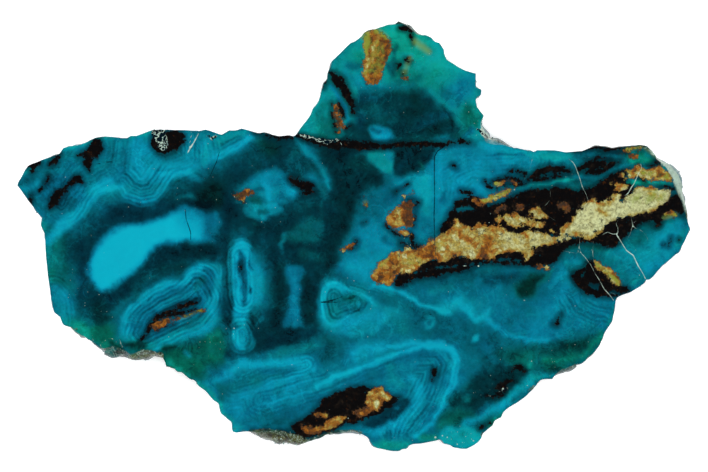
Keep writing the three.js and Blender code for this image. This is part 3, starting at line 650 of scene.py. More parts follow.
RIGHT_LOBE_WASHES = (
    (0.36, 0.15, 0.9, [(22.4, 9.4), (26, 9.9), (33, 9.8), (42, 11.6), (42, 8.8), (20, 6.4), (20, 8)]),
    (0.1, 0.1, 0.9, [(35, 12.8), (39.8, 12.7), (41.2, 12), (38, 12.2)]),
    (0.46, 0.05, 0.5, [(33.6, 12.1, 0.4), (36, 12.2, 0.3), (40.4, 11.7, 0.4)]),
    (0.18, 0.2, 0.5, [(36, 11.4, 0.3), (38.6, 11.3, 0.4)]),
    (0.66, 0.05, 0.5, [(16, 6.9, 0.4), (18.6, 7.2, 0.7), (21, 7, 0.5)]),
    (0.62, 0.4, 0.35, [(21, 7.3, 0.2), (25, 7.4, 0.35), (29.8, 7.8, 0.25)]),
    (0.78, 0.55, 0.25, [(30, 8, 0.2), (32, 8.5, 0.3), (32.9, 8.5, 0.12)]),
    (0.54, 0.05, 0.35, [(32.9, 8.9, 0.3), (36.9, 9, 0.35), (37.7, 9.7, 0.35), (41, 10.7, 0.3)]),
    (0.52, 0.2, 0.4, [(24, 9, 0.3), (25, 8.6, 0.3)]), (0.34, 0.1, 0.4, [(29, 9.2, 0.3), (31, 9.2, 0.3)]),
    (0.66, 0.75, 0.5, [(42, 12.6), (43.4, 12.7), (45.1, 11.4), (43.8, 10.9), (42, 10.8), (41, 11.2)]),
    (0.66, 0.1, 0.4, [(44.2, 12, 0.3), (43.6, 12.2, 0.3)]),
    (0.74, 0.7, 0.25, [(41, 8, 0.25), (42, 8.2, 0.35), (47.6, 7.9, 0.25)]),
    (0.6, 0.4, 0.35, [(15.8, 3.9, 0.25), (16.4, 4.1, 0.35), (17.9, 4.1, 0.2)]),
    (0.44, 0.15, 0.4, [(41.4, 2.2, 0.2), (42, 1.2, 0.2)]),
    (0.64, 0.1, 0.5, [(47.4, 1.6, 0.5), (48.6, 2.2, 0.4)]),
    (0.56, 0.75, 0.4, [(46.1, 10.6, 0.3), (46.7, 10.2, 0.2)]),
)

WASHES = (
    LEFT_EDGE_WASHES + SHOULDER_WASHES + POOL_WASHES + EYE_WASHES + CORNER_WASHES + MIDDLE_WASHES
    + FINGER_WASHES + HEART_WASHES + LOWER_WASHES + RIDGE_WASHES + LOWER_RIGHT_WASHES + UPPER_RIGHT_WASHES
    + CROWN_WASHES + RIGHT_LOBE_WASHES
)

# Fine banding: (strength, blur, shape) where it shows, and the lines that it runs beside.
FINE_BANDS = (
    (0.35, 2, [(-50, 9), (-46, 1), (-40, 2), (-36, 6), (-30, 4), (-20, 11), (-16, 16), (-34, 16)]),
    (0.9, 1, [(-45.8, 4.6), (-42, 1.8), (-38.6, 5), (-38.2, 9), (-42, 8)]),
    (1, 0.8, [(-35.4, 9.6), (-34.8, 5), (-31.4, 4.2), (-28.4, 6), (-26, 9.4), (-28, 11), (-33, 10.6)]),
    (0.8, 0.8, [(-35.6, 14, 0.6), (-35.6, 11.6, 0.6)], [(-25, 13, 1), (-22, 12, 1.6),
     (-18, 14, 1)], [(8, -23), (10, -18), (14, -17), (16, -19), (14, -25), (11, -29), (6, -31), (4, -29),
     (9, -26)], [(30, -8.6), (39, -10), (38.6, -13.6), (34, -13), (31, -11)]),
    (0.7, 0.8, [(-39, 9.6, 0.6), (-36, 9.2, 0.7)], [(-45, -6, 0.8), (-43, -9, 1.2), (-43, -12, 1)]),
    (1, 0.6, [(-35, -14), (-34, -11), (-30, -7.6), (-26, -6.6), (-22, -3.6), (-19, -5), (-20, -12),
     (-24, -15), (-29, -16.4), (-33, -16)]),
    (0.9, 0.5, [(-17.3, -2, 1.9), (-17, -16, 1.9)], [(-5.4, -12), (-5.4, -8), (-3, -6.4), (1, -7.6),
     (3, -10), (1, -11.6), (-3, -13.6)], [(-7, -19, 1.2), (-9, -21.4, 1)]),
    (0.5, 0.6, [(-14.6, -12.6, 1.2)]), (0.9, 0.6, [(0, -7.8, 0.5), (6, -8.6, 0.5)]),
    (0.5, 1.2, [(-20, -21), (-6, -17.6), (-4, -21), (4, -18), (10, -18), (-8, -26), (-18, -28)]),
    (0.45, 1.2, [(13, 12.4), (32, 12), (32, 10.4), (20, 9), (13, 4)]),
    (0.6, 0.6, [(20.4, 11.8, 0.8), (25, 12, 0.8)]), (0.35, 1.2, [(41, -6), (49, 0), (46, 1), (42, -1)]),
    (0.4, 1, [(37, -2.4, 0.8), (41, -3, 1.4)]),
)
BAND_GUIDES = (
    [(-50, 8, 0), (-46, 4, 0), (-44, 2.6, 0), (-42.4, 3.4, 0), (-39.6, 7.6, 0), (-37, 9, 0),
     (-35.4, 10.4, 0), (-35, 14, 0)],
    [(-34.6, 8.4, 0), (-33.6, 7, 0), (-32, 6.4, 0), (-30.4, 6.8, 0), (-28, 10.2, 0), (-25, 11.4, 0),
     (-24.8, 15, 0)],
    [(-22, 11, 0), (-22.4, 15, 0)], [(-20, 11, 0), (-15, 13.6, 0)],
    [(-47, -9, 0), (-45, -8.4, 0), (-43.6, -10, 0), (-43.4, -13, 0)],
    [(-32, -14.6, 0), (-31, -12.6, 0), (-28.6, -10.6, 0), (-25.4, -9.4, 0), (-23.6, -7.4, 0),
     (-22.4, -9.6, 0), (-24, -11.4, 0), (-31.4, -15, 0)],
    [(-16.8, -3, 0), (-16.6, -9.4, 0)], [(-16.8, -14.4, 0), (-16.7, -15.6, 0)],
    [(-3, -9, 0), (-2.6, -11.4, 0), (0, -10.2, 0)], [(0, -7, 0), (8, -9.6, 0)],
    [(-18, -22.6, 0), (-12, -20.4, 0), (-7.2, -19.4, 0)],
    [(-14, -24.6, 0), (-6, -22.4, 0), (2, -19, 0), (8, -17, 0), (13, -17, 0), (14.4, -19, 0),
     (13.6, -22.6, 0), (12, -26, 0), (9, -29.6, 0)],
    [(33, -8.8, 0), (34, -10.4, 0), (36.4, -11.6, 0), (39, -12.2, 0)],
    [(14, 5, 0), (14, 9, 0), (17, 11, 0), (22, 11, 0), (27, 11.4, 0)],
    [(41, -4, 0), (45, -1.6, 0), (48, 2, 0)],
)

# Pale specks of quartz dust: (strength, blur, shape).
SPECKS = (
    (1, 0.5, [(45, 12.4, 0.8), (47.6, 10.6, 1), (49.4, 8, 1.2), (50.2, 4.6, 0.8)]),
    (0.5, 1.5, [(-44.6, -4), (-40, -5), (-36, -13), (-42, -12.6), (-45, -8)]),
    (1, 0.8, [(-42.4, -5, 0.6), (-41.4, -7.6, 0.9), (-39.8, -8.3, 0.4)]), (0.7, 0.8, [(-40, -12.6, 0.8)]),
    (0.9, 1, [(-21.6, -15.4), (-19, -14.4), (-19.6, -18), (-25, -19.6), (-26, -17)]),
    (1.3, 0.6, [(-24, 6.4, 0.9), (-22.6, 8.6, 0.7)]), (0.5, 1, [(-16.4, 5), (-10, 5), (-9, 2), (-16, 1)]),
    (0.4, 1.2, [(-24, 10), (-9, 15), (-8, 10), (-18, 5), (-36, 3), (-38, 1)]),
    (0.35, 1.2, [(1, 22), (10, 22), (17, 15), (1, 15)]),
    (1.5, 0.7, [(17.4, 19.6, 0.8), (18.6, 16.4, 1), (20.6, 14.6, 0.6)]),
    (1.3, 0.8, [(7.6, 24.6, 1), (8.4, 27.8, 1), (11.2, 27.4, 0.6)]),
    (1.7, 0.8, [(12, -30), (14, -28.4), (19, -29), (18, -32), (14, -31.6)]),
    (0.6, 1, [(20, -20), (26, -18), (26, -20), (22, -24), (18, -26), (15, -25)], [(26, -20), (31, -15.6),
     (38, -14), (34, -19.6)]),
    (0.35, 1.5, [(8, -10), (22, -5), (30, -8), (24, -13), (14, -9)]),
    (0.4, 1, [(20, 8), (33, 9.6), (42, 11), (33, 7)]),
)

# Soft light and dark passes over the washes: (change of tone, change of green, blur, shape).
SHADES = (
    (-0.17, 0.1, 2, [(-1.6, -3), (-1.6, 3), (0.4, 6), (3.4, 6), (4.4, -3), (2, -4.4)]),
    (-0.12, 0.05, 1.5, [(4, 8, 0.8), (10, 4, 1), (11, 1.4, 0.8)]),
    (-0.14, 0.08, 1.4, [(8, -7.6, 0.8), (18, -6.4, 1.2), (29, -6.6, 1.2)]),
    (-0.16, 0, 1.5, [(-27, 5.4, 0.6), (-23.6, 5, 0.8), (-21.8, 2.4, 0.8), (-22, -0.6, 0.8)]),
    (-0.1, 0, 1.2, [(-23, 1.4, 0.8)], [(-2.2, 22.6, 0.8)], [(-12, -27.6, 0.8), (-9.6, -26.6, 0.6)]),
    (0.11, -0.05, 1.4, [(-13.6, -0.6, 0.7), (-13.6, -12.6, 0.8)]),
    (0.09, -0.08, 1.4, [(-10.6, -4, 0.8), (-9, -7, 0.8)]),
    (0.11, 0.06, 1.8, [(-44, -3, 1), (-41.6, -7, 1.6)]),
    (-0.13, 0.3, 1.2, [(-33, -16.2, 0.8), (-29, -15.8, 0.6), (-22.6, -12.4, 0.6)]),
    (0.14, 0.05, 1.2, [(-26, -19, 0.8), (-23.4, -19, 0.6)]),
    (-0.14, 0, 1.2, [(-46, 0.6, 1), (-45.6, -2, 0.8)]),
    (-0.13, 0.05, 1, [(-8, 14.2, 0.6), (10, 13.6, 0.6)]), (-0.11, 0, 1.5, [(-8.6, 11.4, 1), (-5, 11, 0.8)]),
    (-0.08, 0, 1.5, [(7, 11.4, 1), (13, 11.4, 0.8)], [(-22.4, -4, 1), (-22.6, -8, 1.4), (-25, -11.6, 1.4),
     (-26, -7, 1)], [(-33, -9.6, 1.2), (-29, -8.6, 1)]),
    (-0.14, 0.12, 1.6, [(16.2, 19.6, 0.8), (13.6, 21.6, 0.8)]),
    (-0.11, 0.12, 1.5, [(6.6, 23.2, 1), (10.6, 23, 1)]), (0.1, 0.3, 1.6, [(9.6, 29, 1.2), (4, 31, 0.8)]),
    (0, 0.22, 2, [(0, 25), (2, 31), (8, 31.6), (14, 28), (16, 22)]), (-0.12, 0.05, 1.2, [(-5, 17.4, 0.6)]),
    (0.08, 0, 1.2, [(-14, 14.4, 0.6), (-13.4, 11.6, 0.8)], [(20, -28.6, 0.8)]),
    (-0.09, 0.05, 1.6, [(-48.6, 8, 0.8), (-46.4, 11, 0.8)]),
    (-0.08, 0, 1.6, [(-35.6, 11.4, 1.2), (-27, 11.2, 1)]),
    (0.16, 0.12, 1.5, [(24.6, -19.4, 0.8), (28.4, -18.8, 0.6)]),
    (-0.15, 0, 1, [(33, 8.4, 0.5), (35.4, 8.6, 0.4)]),
    (0, 0.22, 2.5, [(26, 13), (42, 13), (50, 4), (44, -6), (36, -9), (30, -5), (32, 4), (24, 6)]),
    (0, -0.18, 2, [(-38, 5), (-24, 6), (-20, 2), (-38, -8), (-41, -2)]),
    (0, 0.35, 1.5, [(-41, -14, 0.8), (-31, -17, 0.5)]),
    (-0.08, 0, 1.2, [(-10, -1, 0.8), (-5.6, -2, 0.6)], [(-10, 14.6, 0.6), (-4, 15, 0.8)], [(2.6, -30, 0.8),
     (1, -29.4, 0.6)]),
    (0.06, 0, 1.6, [(6, -11, 1), (12, -12, 1)], [(-41, -6, 1.2), (-43, -9, 1.2)]),
    (0.14, 0, 0.6, [(10.4, -13.4, 0.3), (11.2, -12.6, 0.35), (12, -13.2, 0.3), (11.4, -14, 0.3),
     (10.6, -13.8, 0.2)]),
    (0.08, 0, 1.6, [(0, 18, 1), (5, 18, 1)], [(-13, 3, 1.2), (-10, 3, 1.2), (-7.4, 6, 1)]),
    (-0.07, 0, 1.4, [(14, 18, 1.2)]), (-0.09, 0, 1.4, [(5.6, 24, 0.6)], [(-25, 2, 1.4)], [(-43, 12, 0.8)]),
    (0.09, 0, 1.4, [(-1, 3, 1)], [(-7, -3.4, 1.2)]), (0.07, 0, 1.4, [(-7, 6, 1)]),
    (0.09, 0, 1.2, [(-16.4, 0.2, 0.8), (-18.8, 0, 0.4)]), (-0.09, 0.1, 1.4, [(-46.4, 0.6, 0.8)]),
    (-0.1, 0, 1, [(-1, -18, 0.8)]), (-0.1, 0.1, 1.4, [(11, -30, 0.8)]),
    (0.07, 0.1, 1.4, [(26, -18, 1), (33.6, -18, 1)]),
    (-0.06, 0, 1.6, [(22.6, -7.4, 1), (28.4, -9, 1.4), (29, -12, 1)]),
    (0, 0.2, 1.6, [(-43, -12, 1.2), (-34, -17.6, 1), (-30, -18, 0.8)], [(20, -27.6, 1), (26.4, -21, 0.8)]),
    (0, 0.25, 1.6, [(-22, -21.6, 1)]), (0, 0.25, 1.4, [(42, 12.4, 1), (44.6, 11.8, 1)]),
    (0, 0.25, 1.8, [(0, 27.6, 0.8), (9.4, 28.6, 1.4)]),
    (-0.35, 0, 1.2, [(33.4, -6.4, 0.8), (39, -8.2, 0.6)]),
    (0.12, 0, 1.4, [(23.4, -18, 1), (26.6, -18.2, 1)], [(-16.4, 0.6, 1)]),
    (-0.15, 0, 1.5, [(-25.4, 3, 1), (-22, 3.2, 1.4), (-21.4, 0.4, 1.2)]),
    (-0.1, 0, 1.5, [(-10, 12, 1.4), (-9.6, 9, 1.2), (-5, 9.6, 1)]),
    (-0.09, 0, 1.5, [(26, 12.4, 1), (34, 12, 1)]), (-0.12, 0.25, 1.5, [(41.4, 12, 1), (44.2, 12, 1.2)]),
    (-0.12, 0, 1.5, [(-49, 8, 1.2), (-48, 6, 0.8)], [(-43.4, 4, 1.4), (-40.6, 5.4, 1)]),
    (0.11, 0, 1.3, [(-13, -5.4, 1.2), (-13, -9.6, 1.4)]),
    (0.1, 0, 1.3, [(-19.2, -5, 0.8), (-19.2, -10, 0.8)], [(-19, -15, 1)]),
    (-0.1, 0, 1.4, [(-1, -3.2, 1), (-3.6, -5.6, 1), (1, -6, 0.8)]), (0.1, 0, 1.4, [(17, -24, 1.4)]),
    (-0.09, 0, 1.2, [(-3.6, 23.4, 0.6), (-1, 23.4, 1), (-1, 21, 0.8)]),
)

# Black manganese oxide: shapes, each with its own outline.
BLACK = (
    # left shoulder
    [(-39.8, 9.9, 0.25), (-40, 11, 0.6), (-39.8, 12, 0.7), (-39.1, 13, 0.85), (-38.6, 14, 0.7),
     (-38.3, 14.6, 0.3)],
    [(-40.4, 12.3, 0.35), (-41.4, 12, 0.12)], [(-38.8, 12.2, 0.5), (-37.9, 13.2, 0.3)],
    [(-44.3, 12, 0.3), (-44.9, 11.4, 0.55), (-45.4, 10.8, 0.35)],
    [(-48.9, 10.4, 0.25), (-48.1, 10.6, 0.5), (-47.3, 11.1, 0.35)], [(-48.3, 9.9, 0.25)],
    [(-47.1, 6.9, 0.12), (-45.8, 8.5, 0.3), (-45.9, 9.1, 0.1)],
    [(-45.5, 4.4, 0.3), (-44.9, 5.5, 0.7), (-44.2, 6.3, 0.7), (-43.3, 6.6, 0.35)],
    [(-43.9, 6.8, 0.3), (-41.6, 8.6, 0.45), (-41.1, 8.9, 0.2)], [(-41.4, 8.4, 0.2), (-40.7, 7.9, 0.08)],
    [(-48.3, 6.1, 0.08), (-48.5, 5.2, 0.22)],
    [(-28.2, 15.9), (-30.2, 15.4), (-30.4, 13.6), (-29.8, 12.7), (-28.8, 12.1), (-27.8, 12.2),
     (-24.9, 14.4), (-26.4, 15.9)],
    # upper middle
    [(-9.5, 8.4, 0.3), (-7.8, 7.6, 0.75), (-6.9, 7.4, 0.7), (-6.4, 7.6, 0.4)],
    [(-8.2, 6.2, 0.2), (-7.4, 6.4, 0.4), (-6, 6.5, 0.2)], [(-9, 8.9, 0.15), (-8.4, 8.9, 0.1)],
    [(-13, 15.1, 0.3), (-11.4, 14.9, 0.3), (-9.4, 15, 0.3)], [(-14.8, 15.4, 0.1), (-14, 15.5, 0.12)],
    [(-8.7, 15.2, 0.2), (-6, 14.2, 0.5), (-3, 13.6, 0.6), (-1.5, 13.7, 0.7), (4, 13.5, 0.42),
     (10, 13.85, 0.3), (13.6, 13.7, 0.25), (16.3, 14.2, 0.22), (17.2, 14.1, 0.12)],
    [(14.8, 14.8, 0.1), (16, 14.6, 0.12), (16.8, 14.2, 0.1)],
    # the banded eye and the finger
    [(-32.2, -15.8, 0.1), (-31.3, -14.8, 0.32), (-29.4, -12.2, 0.45), (-28.3, -11.5, 0.25),
     (-24.3, -10.1, 0.32), (-23.5, -9.9, 0.15)],
    [(-29.2, -12.2, 0.3), (-23.6, -11, 0.1)], [(-30.2, -14.2, 0.15), (-27, -13.2, 0.08)],
    [(-17.1, -4.2, 0.18), (-16.9, -4.9, 0.22)],
    # crown
    [(-3.7, 24.5, 0.3), (-3, 23.9, 0.65), (-2.1, 23.1, 0.75), (-0.5, 20.1, 0.45), (-0.2, 19.2, 0.4),
     (-0.2, 18.5, 0.2)],
    [(-4.5, 22.4, 0.12), (-4.1, 23.1, 0.12)], [(-2.4, 20, 0.12), (-1.9, 19, 0.3), (-1.7, 17.9, 0.2)],
    [(-3.3, 19.9, 0.05), (-3.25, 18.3, 0.1), (-2.6, 15.6, 0.1)], [(-1.3, 16, 0.06), (-0.6, 16.5, 0.2)],
    [(6.9, 31.1, 0.2), (7.6, 31.2, 0.4), (8.3, 31.3, 0.3), (8.8, 28.9, 0.05)],
    [(7.9, 26.4, 0.25), (8.3, 26.1, 0.15)], [(6.7, 25.7, 0.25), (6.6, 25.2, 0.12)],
    [(7, 24.7, 0.1), (7.4, 24.4, 0.12)],
    # under the crust of the belly
    [(-15, -29.2, 0.1), (-13, -29.8, 0.5), (-10.6, -30.2, 0.9), (-8, -30.2, 0.8)],
    # the patch over the wedge
    [(8.3, 5.35, 0.15), (9.7, 5.1, 0.28), (9.3, 4.5, 0.2), (9.1, 3.6, 0.1), (8.9, 1.4, 0.1)],
    [(4.9, 1.8, 0.08), (5.5, 0.9, 0.12), (6.3, 0.3, 0.14), (7, -0.1, 0.12), (8, -0.1, 0.14)],
    [(8.4, 0.5, 0.2), (8.7, -0.2, 0.3), (8.7, -1, 0.35), (9, -1.6, 0.3), (9.8, -1.7, 0.15)],
    [(7, -0.6, 0.15), (7.2, -1.2, 0.25), (8, -1.5, 0.2)],
    [(0.3, -0.9, 0.3), (0.2, -1.5, 0.25), (-0.6, -1.9, 0.06)], [(6.2, 6.6, 0.08), (8.2, 7.8, 0.07)],
    [(1.4, 1.9, 0.1), (1.8, 2.1, 0.08)], [(14.8, 10.6, 0.2), (15.2, 10.2, 0.16)],
    # stringers of the right lobe
    [(23.4, 9.7, 0.15), (24, 9.9, 0.3), (25.7, 9.3, 0.2)],
    [(26.3, 8.6, 0.35), (28.2, 9.8, 0.55), (29.3, 10.05, 0.55), (31.2, 9.9, 0.45), (32.2, 9.7, 0.2)],
    [(27, 8.4, 0.25), (30.8, 9.1, 0.3)],
    [(33.8, 10, 0.3), (35, 10.7, 0.6), (36.3, 10.7, 0.75), (37.2, 10.6, 0.6), (37.7, 11.2, 0.3)],
    [(34.8, 9.7, 0.3), (36.6, 9.6, 0.4), (37.6, 9.9, 0.3)], [(38.4, 10.6, 0.4), (39.8, 11.2, 0.12)],
    [(36.4, 11.7, 0.15), (38.3, 11.5, 0.15)],
    [(32.8, 12.9, 0.1), (34.2, 12.95, 0.18), (35, 13.3, 0.3), (36.3, 13.5, 0.35), (37.5, 13.2, 0.38),
     (40, 13.2, 0.3), (40.5, 13, 0.12)],
    [(20.6, 8.1, 0.2), (23, 8.75, 0.3), (24, 8.6, 0.32), (25.4, 8, 0.2)],
    [(20, 7.6, 0.15), (20.6, 7.2, 0.2), (21.4, 7.1, 0.12)], [(22.6, 7.6, 0.12), (25.6, 7.8, 0.12)],
    [(19.6, 8.1, 0.25)], [(16, 6.8, 0.22), (17.6, 6.5, 0.18)],
    [(13.9, 3), (14.5, 4), (15.2, 4.4), (15.2, 5.3), (17.4, 6.1), (18.2, 5.7), (19, 5.7), (19.2, 5),
     (20.2, 4.6), (21.2, 4.7), (25, 6.5), (26.6, 6.9), (30.5, 7.4), (31.4, 7.3), (32.6, 6.8), (33.6, 6.8),
     (36.6, 7.7), (38.4, 9.3), (41, 10.1), (41.4, 9.4), (40.4, 8.5), (42, 7.3), (41.9, 6.4), (41, 5.5),
     (36, 4.4), (32.4, 1.8), (31.6, -0.2), (28, 0.2), (24, -0.4), (19, 0.8), (15.4, 1), (13.6, 0.2),
     (12.8, 0.4), (12.9, 1.4), (13.6, 2)],
    [(44.6, 10.4, 0.2), (45.3, 10.9, 0.4), (46, 11.3, 0.25)],
    [(42.9, 9.1, 0.3), (43.4, 8.6, 0.2), (43.6, 8, 0.12)],
    [(45.8, 7.4, 0.06), (47, 7.4, 0.1), (48, 7.1, 0.12)],
    # below the wedge
    [(5.9, -7), (6.2, -7.7), (7.2, -7.7), (8, -7), (10, -6.2), (13.4, -6.2), (14, -5.5), (16.4, -5.5),
     (18.4, -4.3), (20, -4.05), (24.6, -4.4), (26, -4.1), (27.3, -4.6), (28.9, -4.4), (30.2, -3.9),
     (31.4, -2), (33, -1.2), (34.4, -1), (35.8, -1.1), (38.2, -1.8), (39.6, -1.4), (41.2, 0.7), (43.4, 2.1),
     (45, 2.2), (45.5, 1.4), (46.2, 1.7), (46.3, 2.8), (47.3, 3.6), (48.3, 3.9), (49.8, 2.6), (49.6, 4),
     (49.1, 5.6), (48.4, 6.3), (46.6, 5.6), (43, 3.6), (40, 3), (37, 1.6), (35.4, 0), (27, -1.2), (18, -3),
     (12, -3.2), (7, -5)],
    # the dark eye
    [(32.5, -6.4), (33, -5.3), (34.2, -5), (35, -3.7), (35.8, -3.5), (36.3, -4.5), (37.2, -5), (40, -7.5),
     (41.6, -7.9), (41, -8.5), (39.8, -9), (36.6, -9.2), (34.2, -8.4), (33.8, -7.6)],
    [(29.9, -13.1, 0.2), (30.4, -13.1, 0.4), (31, -11.9, 0.1)], [(47.6, -0.3, 0.12), (47.2, -1.5, 0.16)],
    [(46.5, -1.3, 0.16)], [(48.7, -0.5, 0.1)],
    # the lower blob and the lower right
    [(-9.4, -28.8), (-8.7, -27.8), (-7.3, -27.2), (-6.5, -26.6), (-3.8, -23.7), (-1.5, -23.1),
     (-0.5, -22.6), (1, -22.5), (4.4, -23), (5.4, -24), (6.4, -24), (7.3, -24.3), (5, -25.8), (4.4, -26.6),
     (2, -27.3), (0.5, -28), (-0.8, -28), (-6, -30.3), (-7.4, -30.4), (-8.8, -29.9)],
    [(12.1, -20, 0.28), (12.15, -20.6, 0.42), (11.9, -21.5, 0.2)],
    [(20.2, -24, 0.2), (21, -24, 0.4), (22, -23.6, 0.4), (22.6, -22.8, 0.3)],
    [(21.2, -22.8, 0.2), (22.2, -22.4, 0.4), (23.8, -21.6, 0.15)],
    [(23.6, -20, 0.25), (24.7, -19.7, 0.35), (25.5, -20.4, 0.25)],
    [(18.8, -28.9, 0.14), (20.6, -27.9, 0.08)], [(-34.8, -17.6, 0.25), (-34.6, -18, 0.2)],
    [(-29.6, -17.9, 0.2), (-29.1, -18.2, 0.15)],
)

# Blue stone that shows through the black.
WINDOWS = (
    [(15.4, 4, 0.15), (16.2, 4.1, 0.3), (17.2, 4.05, 0.28), (18, 4, 0.1)],
    [(41.6, 8, 0.2), (46, 7.9, 0.25), (47.6, 7.9, 0.15)], [(35.4, -7.3, 0.25), (36.4, -7.6, 0.5)],
    [(34.8, -5.2, 0.1), (34.2, -5.9, 0.2)], [(38, -8.7, 0.1), (38.8, -8.3, 0.3), (39.6, -8.6, 0.15)],
    [(33, 7.7, 0.1), (34.4, 8, 0.25), (35.6, 8.2, 0.15)], [(20.6, 5.1, 0.08), (23.4, 6.1, 0.06)],
    [(9, -5.5, 0.05), (12, -4.9, 0.12), (15, -4.6, 0.14), (18, -4.1, 0.1)],
    [(19.6, -3.8, 0.06), (23, -3.6, 0.14), (25, -3.8, 0.08)],
)

# Crust that stands on the broken wall: (x, y, reach, height).
CRUST = (
    (47.6, 9.8, 4, 0.7), (44.6, 12.8, 2.5, 0.4), (50.2, 5, 3, 0.4), (-36.6, -17.1, 3, 0.55),
    (-32.6, -18.4, 3, 0.3), (2.4, 31, 3, 0.4), (23.4, 13.2, 2.6, 0.35), (26.4, -23, 2.5, 0.3),
    (-42.6, -14.1, 2.5, 0.25), (-9.6, -31.4, 4, 0.3), (-48.6, 9.9, 2, 0.2),
)

# Black that shows through the host rock.
HOLES = (
    [(20.2, 2, 0.45)], [(21.3, 1.9, 0.25)], [(22, 3.4, 0.2)], [(23.6, 0.9, 0.3), (24.6, 0.8, 0.25)],
    [(25.4, 3, 0.35), (26, 3.1, 0.3)], [(25.2, 1.8, 0.2), (25.9, 1.2, 0.25)], [(27.3, 2.4, 0.2)],
    [(28.8, 0.7, 0.2)], [(28, 3.6, 0.15)], [(27, -1.9, 0.25)], [(30.4, -0.9, 0.2)], [(32, 0.1, 0.3)],
    [(33.4, -0.3, 0.25)], [(32.4, 2.2, 0.25)], [(34.2, 4.2, 0.2)], [(38.4, 5.4, 0.25)],
    [(40.2, 5.6, 0.3), (40.2, 6.2, 0.2)], [(36.3, 0.6, 0.2)], [(19.2, 1.9, 0.2)], [(17.6, 1.2, 0.2)],
    [(12.2, -3.7, 0.2)], [(15.2, -3, 0.2)], [(40.8, 9.2, 0.25)], [(43.4, 9, 0.3)], [(46.4, 9.3, 0.2)],
    [(45, 8.7, 0.2)],
)

# Yellow green stain on the host rock: (strength, blur, shape).
MOSS = (
    (0.9, 0.6, [(-14, -30.2, 0.7), (-8, -30.8, 0.9)]),
    (0.8, 0.4, [(-33.4, -18.2, 0.5), (-29.4, -18.2, 0.6)], [(46.4, 2.8, 0.4), (48.2, 3.2, 0.4)]),
    (1, 0.8, [(9.2, 29.2, 0.4), (11.2, 27.6, 0.4)]), (0.6, 0.6, [(7.6, 24.6, 0.5), (8.4, 26.8, 0.4)]),
    (0.6, 0.4, [(43.6, 13.2, 0.3), (46.6, 10.9, 0.3)], [(40.8, 9.4, 0.3)], [(43, 9.6, 0.3),
     (44.4, 9.2, 0.3)], [(41, 13, 0.4), (42.8, 13.4, 0.4)], [(-26, -12.4, 0.3),
     (-23, -11.2, 0.3)], [(1.7, 5, 0.5)]),
    (0.55, 0.4, [(19.4, 5.3, 0.4), (23.4, 6.8, 0.3)]),
    (0.6, 0.3, [(21.2, 7.8, 0.5)], [(39.9, -7.2, 0.4), (36.4, -4.2, 0.3)]),
    (1.1, 0.6, [(1.2, 30.4, 0.7), (2, 29.4, 0.5), (1.8, 27.6, 0.3)]),
    (0.9, 0.5, [(3.4, 30.8, 0.5), (5, 29.8, 0.3)]), (0.5, 0.4, [(1.8, 24.6, 0.4), (4.4, 25.4, 0.3)]),
    (0.5, 0.6, [(2.6, -5.6, 0.4), (4.6, -3.8, 0.4)]),
    (0.4, 0.6, [(8.2, -3.6, 0.8), (9.4, -4, 0.6)], [(2.6, 30), (4.8, 29), (4.4, 25.6), (3, 23.4),
     (1.8, 26)]),
    (0.5, 0.5, [(12.8, -1.4, 0.6)]), (0.7, 0.4, [(46.8, 9, 0.5)]), (0.4, 0.4, [(-17.6, 6, 0.4)]),
    (0.5, 0.8, [(42, 5.6, 1), (45.6, 6, 1)]), (0.34, 0.6, [(40.4, 9.4, 0.5), (47, 9.4, 0.6)]),
)

